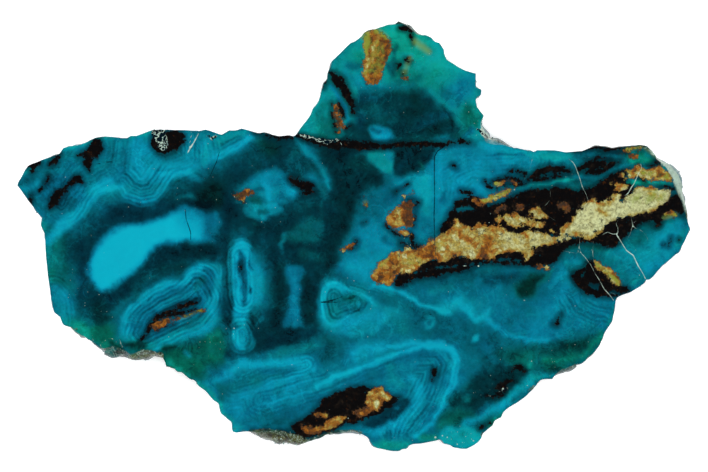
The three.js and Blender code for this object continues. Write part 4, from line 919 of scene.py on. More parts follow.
# Cream host rock, stained yellow, orange or brown.
HOST_ROCK = (
    # the long wedge
    [(2.3, -6.1), (3.4, -4.9), (3.6, -4.1), (5, -3.5), (5.4, -2.8), (6.2, -2.4), (7.2, -2.4), (7.7, -1.8),
     (9.3, -2.3), (11.7, -0.4), (12.6, -0.3), (14.7, 1.5), (15.5, 2.9), (16.3, 1.3), (17.2, 1.2),
     (18.2, 1.6), (19, 2.3), (19.7, 2.2), (20, 1.5), (20.8, 1.6), (21.8, 3.2), (22.2, 2.6), (22, 1.6),
     (23.6, 0.4), (24.6, 0.2), (26.3, 1), (28.2, 0.6), (30.2, -0.2), (31.2, -0.2), (31.2, -0.9),
     (27.8, -1.5), (27, -2), (26.8, -2.8), (26.3, -3.5), (25.8, -3.7), (25.7, -3), (25.2, -2.5), (23, -2.2),
     (22.2, -2.8), (19, -3.7), (15.3, -2.9), (14.6, -3.5), (13, -3.8), (11.6, -3.7), (10.5, -4.1),
     (9.1, -5.3), (8.2, -5.6), (7, -5.4), (6, -6.5), (6, -7.1), (5, -7.3), (4, -7.2), (3.2, -6.9)],
    # islands in the black
    [(22.2, 2.7), (22.9, 3.5), (23.3, 2.9), (24.3, 2.9), (24.9, 2.3), (26, 2), (26.3, 1.4), (25.3, 1.5),
     (24.4, 1.2), (23.6, 1.4)],
    [(26, 4), (26.6, 4.3), (27.6, 4.3), (28, 3.9), (27.7, 3.4), (28.2, 2.9), (28, 2.4), (28.5, 1.9),
     (28.4, 1.1), (27.6, 1.4), (27.2, 2.2), (26.6, 2.7), (26.9, 3.4)],
    # the right arm
    [(31.2, -0.4), (30.9, 0.6), (31.3, 1.5), (32.7, 2.5), (33.2, 3.3), (34, 4), (34.4, 5), (35.1, 5.6),
     (37.2, 5.1), (38.3, 5.7), (38.9, 6.3), (39.8, 6.5), (40.3, 5.6), (41.1, 5.7), (42.3, 7.3), (44.5, 7.5),
     (48.3, 6.5), (46, 4.5), (44.8, 3.8), (40, 2.8), (37.6, 1.6), (35.8, -0.9), (34.4, -0.2), (33, 0),
     (32, -0.4)],
    [(39.2, 8.9), (42, 10.3), (43, 10.5), (43.8, 9.8), (45, 10.4), (46.2, 10.4), (47, 9.9), (47.9, 8.9),
     (47.8, 8.2), (45.6, 8.4), (44.2, 8.2), (43.4, 8.8), (42.4, 9), (41.4, 8.5), (40.6, 8.8)],
    [(40.3, 12.6, 0.2), (41, 13, 0.25), (43, 13.3, 0.2)], [(41.7, 11.8, 0.4), (42.4, 12, 0.15)],
    [(46.8, 3.2, 0.2), (47.6, 3.4, 0.4), (48.2, 3.2, 0.25)],
    # the patch over the wedge
    [(4.6, 2.4), (5.2, 3.3), (6.7, 4.6), (8.4, 5.4), (9.1, 5), (8.8, 2), (8.5, 1.4), (7.2, 1.4), (6.6, 0.9),
     (5.8, 1.2)],
    [(6.1, 0.9), (7, 1), (8.3, 0.6), (8.4, 0.1), (7.7, 0)], [(7.5, 5.9, 0.1), (8.8, 6.4, 0.1)],
    [(7.7, -1.7, 0.2), (8.3, -1.9, 0.2)], [(-1.7, -2.1, 0.12), (-0.4, -1.3, 0.3), (0, -1.2, 0.15)],
    [(1.6, 6, 0.12)], [(1.8, 4.9, 0.26)],
    # yellow streak
    [(19.2, 5.3, 0.35), (20.8, 5.6, 0.45), (22.4, 6.4, 0.42), (23.8, 6.9, 0.15)],
    [(21.2, 7.8, 0.3), (21.7, 7.8, 0.22)], [(22.2, 8.2, 0.1), (23.4, 8.35, 0.12), (24.2, 8, 0.1)],
    # upper middle diamond
    [(-18, 6.1), (-17.4, 6.7), (-16.7, 7), (-15.7, 6.9), (-14.7, 6.5), (-16.3, 5.5), (-17, 5.3)],
    # the banded eye
    [(-30, -13.7, 0.4), (-28, -12.7, 0.42), (-27, -12.7, 0.28), (-26, -12.3, 0.12)],
    [(-25.4, -12.1, 0.08), (-22.3, -11, 0.08)],
    # crown
    [(1.5, 30), (2.2, 31.1), (3.4, 31), (4.1, 30.2), (5.7, 29.3), (4.7, 26), (4.2, 25.2), (3.9, 23.4),
     (3.3, 22.8), (2.5, 22.7), (1.8, 23.2), (1.1, 24.7), (1.7, 26.4), (1.4, 29.2)],
    [(-2.9, 19.7, 0.18), (-2.6, 18.2, 0.3), (-1.9, 16.6, 0.35), (-2.3, 15.5, 0.12)], [(8.5, 26.7, 0.16)],
    [(7.6, 23.6, 0.16), (8.1, 23.8, 0.1)], [(11.4, 27.3, 0.08)],
    # the dark eye's cap
    [(31, 4.5, 0.4), (31.8, 4.2, 0.6)], [(39.6, 7.2, 0.5), (40.6, 7.4, 0.4), (38.6, 7.8, 0.2)],
    [(18, 5.2, 0.3), (19.2, 4.6, 0.3)], [(21.6, 3.9, 0.35), (22.6, 4.3, 0.4)],
    [(24.2, 4.6, 0.3), (25, 4.4, 0.35)], [(24.2, 3, 0.45), (25, 2.4, 0.45), (27.4, 1.6, 0.4)],
    [(28, 3.4, 0.25), (28.8, 2.8, 0.2)], [(29.6, 1, 0.2), (30, 0.6, 0.25)],
    [(43, 9.6, 0.3), (44.6, 9, 0.4)],
    [(36, -3.9), (36.7, -3.8), (39.1, -5.3), (39.8, -6), (40.1, -6.8), (39.8, -7.5), (38.4, -6.6),
     (37.8, -5.7), (36.3, -4.6)],
    [(28, -4.6, 0.25), (27.6, -4.3, 0.12)], [(28.9, -4.7, 0.22)],
    # the lower blob
    [(-8.3, -27.9), (-5.3, -28.8), (-4.4, -28.7), (-3.6, -27.1), (-2.8, -27.1), (-2, -26.8), (-1.2, -27.3),
     (-1.8, -27.9), (-3.6, -28.9), (-6.6, -30.2)],
    [(-5.9, -26.9, 0.15), (-5, -26.8, 0.22), (-4.1, -27, 0.18)],
    [(2.1, -23.8), (2.4, -23.2), (3.4, -22.5), (4.6, -23), (5.6, -24.2), (5.3, -24.8), (4.6, -24.6),
     (4.2, -24.9), (4.2, -25.5), (3.9, -26.1), (2.4, -26.4), (0.7, -27.5), (-0.3, -26.2), (0.3, -25.9),
     (1.3, -26), (1.8, -25.5), (1.6, -25), (2.1, -24.6)],
)

# Iron stain in the host rock: (stain, blur, shape); 0 is clean cream, 1 dark rust.
STAINS = (
    (0.74, 0.8, [(2, -6.4), (5.6, -3), (7, -3.6), (6, -7.4)]),
    (0.45, 0.3, [(2.8, -5.6, 0.2), (4.6, -4, 0.3)]),
    (0.36, 0.5, [(7.2, -2.6), (9, -2.6), (10.4, -3.6), (9.2, -5.4), (7.2, -5.2)]),
    (0.75, 0.4, [(9.6, -2.6, 0.4), (11.4, -1.8, 0.6), (12.4, -3.2, 0.5)]),
    (0.98, 0.35, [(10.3, -3.1, 0.3), (11.6, -3, 0.35)]),
    (0.3, 0.8, [(12.6, -2.6), (12.4, 0.2), (17, 0.8), (18, -1.6), (15.6, -2.8)]),
    (0.7, 0.4, [(15.3, 2.2, 0.3), (14, 0.4, 0.3)]), (0.66, 0.5, [(15.6, 0.4, 0.4), (17.4, -0.8, 0.5)]),
    (0.58, 0.4, [(20, -1, 0.7), (20.4, -2.2, 0.4)]),
    (0.96, 0.35, [(18.8, -3.2, 0.4), (19.2, -2.4, 0.5), (19.8, -3.2, 0.4)]),
    (0.48, 0.4, [(19.6, 1.6, 0.4), (21.4, 1.2, 0.6), (21.6, 2.6, 0.4)]),
    (0.15, 0.5, [(22.2, -2), (22, 0.6), (27, 1), (30.6, 0), (26.8, -2.4)]),
    (0.15, 0.4, [(23, 2.4, 0.5), (24.6, 2.2, 0.3)]), (0.2, 0.4, [(27.2, 3.8, 0.4), (27.8, 2, 0.3)]),
    (0.44, 0.4, [(25.8, 0.1, 0.4), (26, -1.6, 0.4)]), (0.5, 0.4, [(16.6, -2.4, 0.3), (14.2, -3, 0.4)]),
    (0.62, 0.3, [(26.2, 4, 0.2), (27.2, 4.2, 0.2)]),
    (0.05, 0.6, [(31.6, 0, 1.4), (34, 2.4, 2.4), (43, 5.4, 2.2), (48, 6.6, 1.4)]),
    (0.6, 0.3, [(35.2, 5.3, 0.3), (37.4, 4.7, 0.2)]), (0.4, 0.4, [(38.4, 4.9, 0.4), (39, 6, 0.3)]),
    (0.45, 0.3, [(33, 3.1, 0.3), (31.4, 0.6, 0.3)]),
    (0.36, 0.5, [(36.6, 4, 0.3), (37.8, 3.4, 0.4), (38.2, 2.4, 0.2)]),
    (0.4, 0.4, [(33, 0.4, 0.3), (36, 0, 0.3)]), (0.62, 0.3, [(43.6, 7.1, 0.2), (45, 7.2, 0.2)]),
    (0.34, 0.5, [(45.6, 5.6, 0.6), (44.6, 6.4, 0.3)]),
    (0.32, 0.5, [(39.4, 8.6), (42, 10.4), (46.4, 10.6), (48, 8.6), (44, 8)]),
    (0.92, 0.3, [(39.9, 9, 0.35)]), (0.88, 0.3, [(42.2, 9.9, 0.3), (41.8, 9.4, 0.15)]),
    (0.85, 0.3, [(45.7, 9.7, 0.3), (45.8, 9, 0.25)]), (0.94, 0.3, [(45, 10.3, 0.25)]),
    (0.34, 0.3, [(41.3, 9, 0.25)], [(44, 9.2, 0.3)]), (0.62, 0.4, [(40.3, 12.6, 0.3), (43, 13.4, 0.3)]),
    (0.88, 0.4, [(41.7, 11.8, 0.6)]), (0.85, 0.4, [(47.4, 3.4, 0.6)]),
    (0.97, 0.4, [(6.9, 4.4), (8.4, 5.6), (9.2, 4.8), (8.8, 2.2), (7.8, 1.6), (7.2, 2.4)]),
    (0.72, 0.3, [(8.4, 2.4, 0.3), (8.2, 1.7, 0.25)]),
    (0.4, 0.4, [(5.2, 2.4, 0.5), (6.2, 1.6, 0.5), (6, 3.2, 0.3)]),
    (0.97, 0.35, [(7, 4.7, 0.4), (8.1, 4.4, 0.8), (8, 3, 0.85), (8.2, 1.9, 0.4)]),
    (0.6, 0.3, [(6.6, 0.6, 0.3), (7.4, 0.6, 0.2)]),
    (0.12, 0.3, [(7.8, 0.4, 0.2)], [(8.2, 6.2, 0.5)], [(8, -1.8, 0.4)]),
    (0.7, 0.4, [(-1.2, -1.8, 0.3), (0, -1.2, 0.4)]), (0.66, 0.4, [(1.6, 6, 0.3)]),
    (0.55, 0.4, [(1.8, 4.9, 0.4)]), (0.28, 0.4, [(19.4, 5.4, 0.5), (22, 6.2, 0.3)]),
    (0.9, 0.3, [(22.8, 6.7, 0.3)]), (0.08, 0.3, [(21.4, 7.8, 0.6)]),
    (0.8, 0.3, [(22.4, 8.2, 0.3), (24, 8.2, 0.3)]), (0.8, 0.4, [(-17.4, 6.2, 0.7), (-15.4, 6.4, 0.6)]),
    (0.95, 0.3, [(-17, 5.9, 0.3)]), (0.8, 0.4, [(-30, -13.7, 0.7), (-23, -11.2, 0.5)]),
    (0.5, 0.5, [(1.4, 29.4), (2, 31.2), (3.6, 31.2), (3.4, 29.4), (2.4, 28.2), (1.5, 28.2)]),
    (0.8, 0.5, [(3.4, 29.4), (4.8, 30), (5.8, 29.2), (4.8, 26), (4, 25), (3, 26.4)]),
    (0.97, 0.3, [(2.2, 28, 0.25), (2.4, 27, 0.25)]),
    (0.7, 0.5, [(1.2, 25), (2, 26.4), (3.2, 25.6), (4, 24), (3.4, 22.6), (2, 22.8)]),
    (0.97, 0.25, [(3, 25, 0.3), (2.6, 24.4, 0.2)]),
    (0.97, 0.3, [(2.2, 28.6, 0.2), (2.6, 29.4, 0.2), (2.4, 30, 0.1)]),
    (0.95, 0.3, [(3.6, 24.6, 0.2), (3.4, 26.4, 0.3)]),
    (0.4, 0.3, [(2.2, 26, 0.2), (1.7, 24.6, 0.25), (1.8, 23.4, 0.25)]),
    (0.76, 0.3, [(-2.9, 19.6, 0.5), (-2.6, 17.8, 0.5), (-1.9, 16.4, 0.5), (-2.3, 15.6, 0.4)]),
    (0.4, 0.3, [(8.5, 26.7, 0.3)]), (0.7, 0.3, [(7.8, 23.7, 0.5)]),
    (0.88, 0.3, [(31, 4.5, 0.8), (31.8, 4.2, 0.8)]), (0.9, 0.3, [(18.6, 5, 0.6), (19.2, 4.6, 0.5)]),
    (0.95, 0.3, [(21.6, 3.9, 0.6), (22.6, 4.3, 0.6)]), (0.93, 0.3, [(24.2, 4.6, 0.6), (25, 4.4, 0.6)]),
    (0.45, 0.3, [(39.6, 7.2, 0.5)]), (0.3, 0.3, [(36.3, -4.1, 0.4), (38, -5.3, 0.2)]),
    (0.78, 0.3, [(38.8, -5.8, 0.4), (39.5, -6.4, 0.4)]), (0.6, 0.3, [(39.8, -7, 0.3)]),
    (0.94, 0.3, [(27.8, -4.5, 0.4)]), (0.05, 0.2, [(28.9, -4.7, 0.3)]),
    (0.8, 0.5, [(-8, -28, 0.9), (-6.4, -29.6, 0.9), (-4.6, -29.2, 0.5), (-5.4, -26.9, 0.6)]),
    (0.62, 0.5, [(-4.6, -28, 0.5), (-3.2, -27.8, 0.8)]),
    (0.6, 0.3, [(-4.6, -28.9, 0.2), (-4.2, -28.2, 0.2)]), (0.7, 0.3, [(-3.4, -27.8, 0.4)]),
    (0.36, 0.3, [(-2.2, -27.3, 0.35)]),
    (0.62, 0.6, [(3, -23.2, 0.6), (4.6, -23.8, 0.6), (3.6, -25.4, 1.2)]),
    (0.84, 0.5, [(0.4, -26.7, 0.9), (1.8, -26.3, 0.8), (2, -24.6, 0.3)]), (0.66, 0.3, [(2.6, -26, 0.4)]),
    (0.02, 0.25, [(3.4, -25, 0.45), (3.3, -25.6, 0.3)]),
    (0.1, 0.25, [(4.2, -23.5, 0.3), (5.1, -24.4, 0.3)]), (0.12, 0.2, [(1.9, -24.9, 0.2)]),
)

# Grey green rind and crust on the broken edge.
RIND = (
    [(45.2, 12.2), (47.5, 10.7), (48.6, 9.6), (49.5, 8), (50.5, 2.6), (49.8, 2.4), (49.1, 5.5), (48.5, 6.3),
     (47.9, 8.7), (46.8, 10.3), (46, 10.9)],
    [(43.2, 13.4, 0.18), (44.4, 12.9, 0.2), (45.2, 12.2, 0.2)],
    [(19.2, 16, 0.3), (19.6, 15.2, 0.35), (23.6, 13.5, 0.12)], [(27.2, 13.2, 0.2), (28.4, 13.3, 0.12)],
    [(-33.9, -18.2), (-32, -17), (-31, -16.9), (-29.6, -17.5), (-29, -17.4), (-28.4, -18.1), (-28.8, -18.7),
     (-30, -18.6), (-31, -19), (-32.5, -19.2), (-33.8, -18.8)],
    [(-35.6, -17.6, 0.2), (-34.4, -18.2, 0.25)], [(-36, -17.2, 0.25)],
    [(-16.2, -29.4), (-15, -29), (-13, -28.9), (-9, -29.6), (-7.6, -30.1), (-7.3, -31.4), (-10, -31.6),
     (-13, -31.1), (-15, -30.4)],
    [(-7, -30.7, 0.3), (-2, -29.4, 0.25), (0.6, -29.3, 0.25), (1.5, -29.6, 0.15)],
    [(32, -20.1, 0.15), (33.4, -19.4, 0.2)], [(31.4, -20.5, 0.12), (32.4, -20.4, 0.1)],
    [(26.3, -23.1, 0.15), (27, -22.5, 0.2)], [(19.2, -29.6, 0.15), (19.2, -30.2, 0.1)],
    [(6, 32, 0.15), (7.2, 32.2, 0.25), (8.3, 31.9, 0.2), (9, 31, 0.2), (9.8, 30.4, 0.12)],
    [(2, 30.9, 0.3), (2.8, 31, 0.2)], [(13.2, 29, 0.1), (13.6, 27.6, 0.08)],
    [(-5, 22.4, 0.12), (-4.6, 23.2, 0.1)], [(-42.4, -13.9, 0.14), (-41.8, -14, 0.18)],
    [(-18, -29, 0.06), (-16.4, -29.2, 0.12)], [(43.8, -6.8, 0.12)],
)

# Vugs lined with white quartz that shows as fine white squiggles.
DRUSE = (
    [(-30.5, 16.1), (-30.3, 14.8), (-29.5, 14), (-29, 12.9), (-28.5, 12.6), (-28, 13.1), (-27.9, 14.2),
     (-28.3, 15.2), (-28.2, 16.2)],
    [(-8.1, 15.2, 0.12), (-4, 14.05, 0.34), (-2.4, 14.4, 0.12)], [(-2, 13.8, 0.15), (-1.8, 13.5, 0.1)],
    [(-22, 15.2, 0.15), (-21.3, 14.7, 0.2), (-20.6, 15, 0.15)], [(-37.6, 15, 0.08), (-37.2, 15.1, 0.08)],
    [(18.6, 16, 0.15), (20.2, 14.8, 0.2)], [(20.4, -23.9, 0.14), (20.8, -23.8, 0.12)],
    [(21.8, -23.5, 0.12), (22.3, -23.1, 0.14), (23, -22.9, 0.12)], [(-0.9, 14, 0.06)],
)

# White hair cracks that are also cut into the polished face, as chains of (x, y, half width).
WHITE_CRACKS = (
    [(32.2, 11.6, 0.05), (32.9, 11, 0.09), (33.2, 10.5, 0.09), (34, 8.3, 0.1), (34.2, 7.5, 0.1),
     (34.9, 6.1, 0.09), (35.1, 5.4, 0.08), (35.4, 4.8, 0.05)],
    [(43, 10.8, 0.08), (43.2, 10.2, 0.1), (42.7, 9.4, 0.12), (42, 7.8, 0.12), (41.6, 7.3, 0.12),
     (41.2, 6.5, 0.11), (40.9, 6.2, 0.1), (40.5, 6, 0.06)],
    [(29.4, 7, 0.07), (29.5, 5.9, 0.06)], [(29.3, 5.3, 0.06), (28.9, 4.8, 0.06), (28.2, 4.2, 0.05)],
    [(29.1, 3, 0.05), (30.2, 2.3, 0.05)],
    [(39.7, 2.5, 0.06), (39.3, 1.8, 0.07), (39.6, 1.2, 0.09), (39.6, 0.6, 0.1), (39.4, 0.2, 0.12),
     (40.9, -2.2, 0.13), (41.9, -2.9, 0.13), (42.6, -4.4, 0.13), (43.5, -5.9, 0.1), (43.8, -6.6, 0.14)],
    [(37, 0, 0.05), (37.6, 0.4, 0.07), (38.1, 0.6, 0.08), (38.7, 0.3, 0.1), (39.3, 0.3, 0.1)],
    [(41.6, 2.8, 0.05), (41.8, 1.6, 0.08), (42.3, 1.1, 0.07), (43, 0.9, 0.06), (43.5, 0.5, 0.05),
     (43.9, -0.1, 0.05), (44.1, -0.6, 0.04)],
    [(41.8, 1.6, 0.06), (41.4, 0.2, 0.06), (41.1, -0.2, 0.05), (40.9, -0.8, 0.03)],
    [(41.9, 1.8, 0.04), (42.2, 2.2, 0.06), (42.7, 2.35, 0.04)],
    [(33.9, -0.2, 0.06), (33.8, -1.6, 0.07), (34.1, -2.6, 0.08), (34.6, -3.1, 0.09), (35.5, -4.3, 0.09),
     (36.2, -5.7, 0.08), (36.7, -6.4, 0.09), (37.5, -7.9, 0.1), (38.4, -8.9, 0.1), (39.2, -10, 0.06)],
    [(33.8, -2.4, 0.05), (33.3, -2.6, 0.06), (31.3, -2.2, 0.05)], [(33.7, -1.6, 0.05), (33.6, -2.1, 0.05)],
    [(38.5, -8.5, 0.06), (39, -8.6, 0.08), (39.6, -9.3, 0.04)],
    [(35.9, -0.8, 0.06), (35.8, -2.5, 0.06), (36, -3.8, 0.05)], [(27.1, 12.9, 0.07), (26.3, 9.8, 0.04)],
    [(26.2, 9.2, 0.04), (25.6, 8.6, 0.05), (25.4, 8.2, 0.03)], [(23.3, -5, 0.03), (23.8, -7.1, 0.02)],
    [(-37.9, -16.1, 0.09), (-36.8, -15.3, 0.1), (-36.2, -15.4, 0.1), (-35.8, -15.8, 0.11),
     (-35.3, -16.1, 0.06), (-34.9, -16.8, 0.07), (-34, -17.8, 0.07), (-33.4, -17.9, 0.06),
     (-32.4, -17.2, 0.06), (-31.5, -16.9, 0.07), (-30.6, -17, 0.07), (-30.1, -17.2, 0.06)],
    [(-35.5, -15.1, 0.04), (-35.1, -15.6, 0.06), (-34.9, -16.3, 0.06), (-34.4, -17, 0.05)],
)

# White quartz threads that are only coloured, and single bright dots as (x, y, half width): some dots are
# white grains and some are painted glints of light.
WHITE_THREADS = (
    [(-39.2, -14.6, 0.07), (-39.3, -15.5, 0.09), (-38.2, -16.3, 0.09), (-37.2, -17.4, 0.1)],
    [(-28.9, -17.5, 0.06), (-28.5, -18.1, 0.08)],
    [(-25, 12.5, 0.14), (-24.6, 13.2, 0.18), (-24, 14, 0.17), (-23.3, 15.6, 0.14)],
    [(-24.8, 13, 0.08), (-24.5, 14.8, 0.12), (-24.2, 15.6, 0.12)], [(-26, -16, 0.04), (-25.6, -15.8, 0.07)],
    [(-26.9, -11.7, 0.03), (-24, -10.8, 0.03)], [(-19.8, -16.5, 0.1), (-19.6, -16.7, 0.06)],
    [(-21.6, -15.2, 0.05), (-21.4, -15.6, 0.06)], [(-25.1, -17.2, 0.05), (-24.7, -18, 0.07)],
    [(-11, -1.2, 0.05), (-11, -1.6, 0.05)], [(-1.3, 2.8, 0.04), (-0.7, 2.2, 0.05)],
    [(-1.25, 2.25, 0.04), (-0.85, 2.7, 0.04)], [(8.3, 6.25, 0.07), (8.8, 6.5, 0.07)],
    [(16.4, -4.5, 0.13), (17, -4.45, 0.08)], [(25.5, 3.1, 0.14), (25.9, 3.2, 0.1)],
    [(24.1, 7.9, 0.06), (24.6, 7.8, 0.06)], [(42.4, 12.4, 0.04), (42.3, 11.8, 0.04)],
    [(43.2, 12.4, 0.05), (43.3, 12, 0.05)], [(29.5, -18.4, 0.04), (31.3, -17.85, 0.05)],
    [(23.6, -19.3, 0.03), (25, -18.8, 0.03)], [(31, -16.6, 0.03), (32.2, -16.2, 0.05)],
    [(35.5, -17.1, 0.05), (35.7, -16.7, 0.05), (36.2, -16.3, 0.05)],
    [(34.2, -17.8, 0.05), (34.8, -17.7, 0.05)], [(3.2, -30.5, 0.03), (4.1, -30.1, 0.05)],
    [(5.5, -30.35, 0.03), (7, -30.5, 0.04)],
    [(-5.8, -30.5, 0.05), (-4.5, -30.1, 0.06), (-3.3, -29.5, 0.07), (-2.2, -29.2, 0.08),
     (-1.3, -29.35, 0.06), (0.3, -29, 0.06), (1, -28.6, 0.06), (1.4, -28.8, 0.04)],
)
WHITE_GRAINS_AND_GLINTS = (
    (-19.2, -13.95, 0.11), (-18.7, -13.95, 0.06), (-18.35, -13.9, 0.06), (-18, -13.85, 0.12),
    (-16.9, -13.4, 0.08), (-16.5, -13.4, 0.12), (-20, -15.9, 0.08), (-20.1, -17, 0.08), (-39.9, -8.4, 0.12),
    (-42.2, -5.4, 0.1), (-42.3, -5, 0.06), (-44.9, -6.2, 0.05), (-35.2, -5.7, 0.08), (-30.6, -6.3, 0.09),
    (-39.4, 0.2, 0.09), (-39.5, -0.1, 0.05), (-33.8, 4.4, 0.09), (-30.1, 4.35, 0.07), (-17.9, 5.9, 0.07),
    (-17.7, 5.5, 0.1), (-17.5, 5, 0.05), (-16.1, 4.9, 0.07), (-16.6, 7, 0.06), (-14.3, 6.05, 0.09),
    (-9, 5.1, 0.06), (-12.9, 10.8, 0.07), (-11.9, 4.7, 0.07), (-6.2, -11.8, 0.05), (-6.3, -15.6, 0.05),
    (7.5, -0.4, 0.1), (7.9, -1, 0.13), (8.5, -1.3, 0.1), (9.2, 1.6, 0.08), (6.3, 7.7, 0.07),
    (4.6, 12.2, 0.1), (1.7, 20.8, 0.08), (6.4, 16.9, 0.06), (12.5, 20.4, 0.1), (7.2, 18.3, 0.04),
    (18.7, -4.5, 0.13), (21.8, -4.4, 0.12), (8.4, -6.7, 0.08), (14.5, -6.4, 0.08), (25.5, -9.6, 0.1),
    (13.4, -11.8, 0.05), (20.2, 2, 0.13), (20.5, 3.4, 0.12), (23.6, 6.8, 0.12), (24.1, 6.9, 0.12),
    (39.7, 7.3, 0.12), (40.6, 7, 0.1), (26.8, 7.7, 0.08), (26.7, -18.8, 0.12), (25.4, -20, 0.08),
    (28.8, -18.35, 0.06), (22, -18.5, 0.06), (26, -22.5, 0.12), (27.6, -22.2, 0.06), (12.2, -30.2, 0.16),
    (12.6, -29.8, 0.06), (13.3, -30, 0.12), (17.9, -30.7, 0.12), (17, -29.8, 0.06), (17.3, -29.4, 0.08),
    (15.5, -31.2, 0.1), (14, -30.2, 0.08), (14.5, -29.2, 0.05), (16.5, -31, 0.06), (-2.9, -24.1, 0.1),
    (-3.8, -26, 0.1), (-0.9, -27.3, 0.1), (-19.8, -23.7, 0.08), (-9.6, -29.5, 0.12), (-10.9, -29.5, 0.1),
)

# Dark cracks that are also cut into the polished face, and fine dark threads that are only coloured.
DARK_CRACKS = (
    [(-25.3, 4, 0.03), (-25.2, 2.6, 0.05), (-24.5, 0.5, 0.07), (-24.5, -0.6, 0.05)],
    [(-20.2, 12.6, 0.04), (-20.6, 11.2, 0.06), (-21.6, 9, 0.04)],
    [(-5, -9.9, 0.03), (-2.8, -9.5, 0.05), (-1.8, -9.1, 0.05)],
    [(-4.8, -10.05, 0.02), (-3, -10, 0.03), (-2, -9.85, 0.03)],
    [(13.6, 13.4, 0.05), (12.6, 12.8, 0.08), (12.1, 12, 0.08), (12.05, 10, 0.07), (12.1, 6, 0.07),
     (12, 3, 0.07), (12.2, -3, 0.05)],
)
DARK_THREADS = (
    [(-50.3, 7.6, 0.04), (-48.8, 8.1, 0.02)], [(-39, 10.7, 0.05), (-36.8, 11.1, 0.08), (-35, 11.3, 0.05)],
    [(-46.6, 10.1, 0.05), (-45.2, 10.1, 0.08), (-43.6, 10.5, 0.05)],
    [(-36.2, 14.8, 0.03), (-34.4, 14.65, 0.06)],
    [(-5.9, -18.2, 0.02), (-5.8, -19.2, 0.03), (-6.2, -20.2, 0.03), (-8.2, -21.8, 0.02)],
    [(0, -8.4, 0.03), (1.2, -8, 0.04), (2.4, -8.1, 0.03), (3.2, -8.6, 0.02)],
    [(-18.7, -1.4, 0.03), (-18.7, -5, 0.03), (-18.1, -12, 0.02)],
    [(8.7, -10.9, 0.02), (10, -11.4, 0.04), (12, -11.9, 0.04), (13.6, -12.1, 0.03)],
    [(39.3, 1.4, 0.03), (38.6, 1.6, 0.03)],
)
CRACKS_IN_THE_FACE = WHITE_CRACKS + DARK_CRACKS


# --------------------------------------------------------------------------- painting the pattern


def mask(places, points, blur):
    """1 well inside a listed shape and 0 well outside it, with an edge twice blur wide."""
    return 1 - ramp(distance(places, points, blur), -blur, blur)


def one_by_one(table):
    """Each shape of a table, after the numbers that its row gives."""
    for row in table:
        numbers = [item for item in row if not isinstance(item, list)]
        for shape in row[len(numbers) :]:
            yield *numbers, shape


def strongest(places, table):
    """At each place the greatest strength among a table's rows of (strength, blur, shapes)."""
    result = np.zeros(len(places))
    for strength, blur, points in one_by_one(table):
        result = np.maximum(result, strength * mask(places, points, blur))
    return result


def nearest_of(places, shapes, reach=FACE_REACH):
    """Signed distance in mm to the nearest of some shapes, no further than reach."""
    result = np.full(len(places), float(reach))
    for points in shapes:
        result = np.minimum(result, distance(places, points, reach))
    return result


def paint(places):
    """The mineral pattern, with a few painted glints, at places in mm, as one array of values per named
    channel.
    """
    drift = np.stack([lumps(places, 1.7, 11, 2), lumps(places, 1.7, 12, 2)], axis=1)
    shake = np.stack([lumps(places, 0.7, 13, 1), lumps(places, 0.7, 14, 1)], axis=1)
    soft = places + 0.34 * drift + 0.12 * shake
    crisp = places + 0.07 * drift + 0.05 * shake
    # The bright dots: white grains, and painted glints of light among them.
    grains_and_glints = tuple([(x, y, radius + DOT_GROWTH)] for x, y, radius in WHITE_GRAINS_AND_GLINTS)
    tone = np.full(len(places), PLAIN_TONE)
    green = np.full(len(places), PLAIN_GREEN)
    stain = np.full(len(places), PLAIN_STAIN)
    for new_tone, new_green, blur, points in one_by_one(WASHES):
        cover = mask(soft, points, blur)
        tone += (new_tone - tone) * cover
        green += (new_green - green) * cover
    for more_tone, more_green, blur, points in one_by_one(SHADES):
        cover = mask(soft, points, blur)
        tone += more_tone * cover
        green += more_green * cover
    for new_stain, blur, points in one_by_one(STAINS):
        stain += (new_stain - stain) * mask(crisp, points, blur)
    return {
        "tone": tone,
        "green": green,
        "stain": stain,
        "fine": strongest(soft, FINE_BANDS),
        "specks": np.maximum(PLAIN_SPECKS, strongest(soft, SPECKS)),
        "phase": nearest_of(places + 0.2 * drift, BAND_GUIDES, GUIDE_REACH),
        "moss": strongest(crisp, MOSS),
        "black": np.maximum(nearest_of(crisp, BLACK), -nearest_of(crisp, WINDOWS)),
        "rock": np.maximum(nearest_of(crisp, HOST_ROCK), -nearest_of(crisp, HOLES)),
        "rind": nearest_of(crisp, RIND),
        "druse": nearest_of(crisp, DRUSE),
        "white": nearest_of(places, WHITE_CRACKS + WHITE_THREADS + grains_and_glints, CRACK_REACH),
        "dark": nearest_of(places, DARK_CRACKS + DARK_THREADS, CRACK_REACH),
    }


# ------------------------------------------------------------------------------------ the slab's mesh


def frame_slab():
    """The frame's slab as welded points in mm and faces, read from a copy."""
    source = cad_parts[STONE_NODE]
    mesh = source.data
    places = np.empty(len(mesh.vertices) * 3)
    mesh.vertices.foreach_get("co", places)
    turn = np.array(source.matrix_world)
    places = (places.reshape(-1, 3) @ turn[:3, :3].T + turn[:3, 3]) / MM
    places, index = np.unique(places.round(4), axis=0, return_inverse=True)
    index = index.reshape(-1)
    faces = [[int(index[v]) for v in polygon.vertices] for polygon in mesh.polygons]
    return places, faces


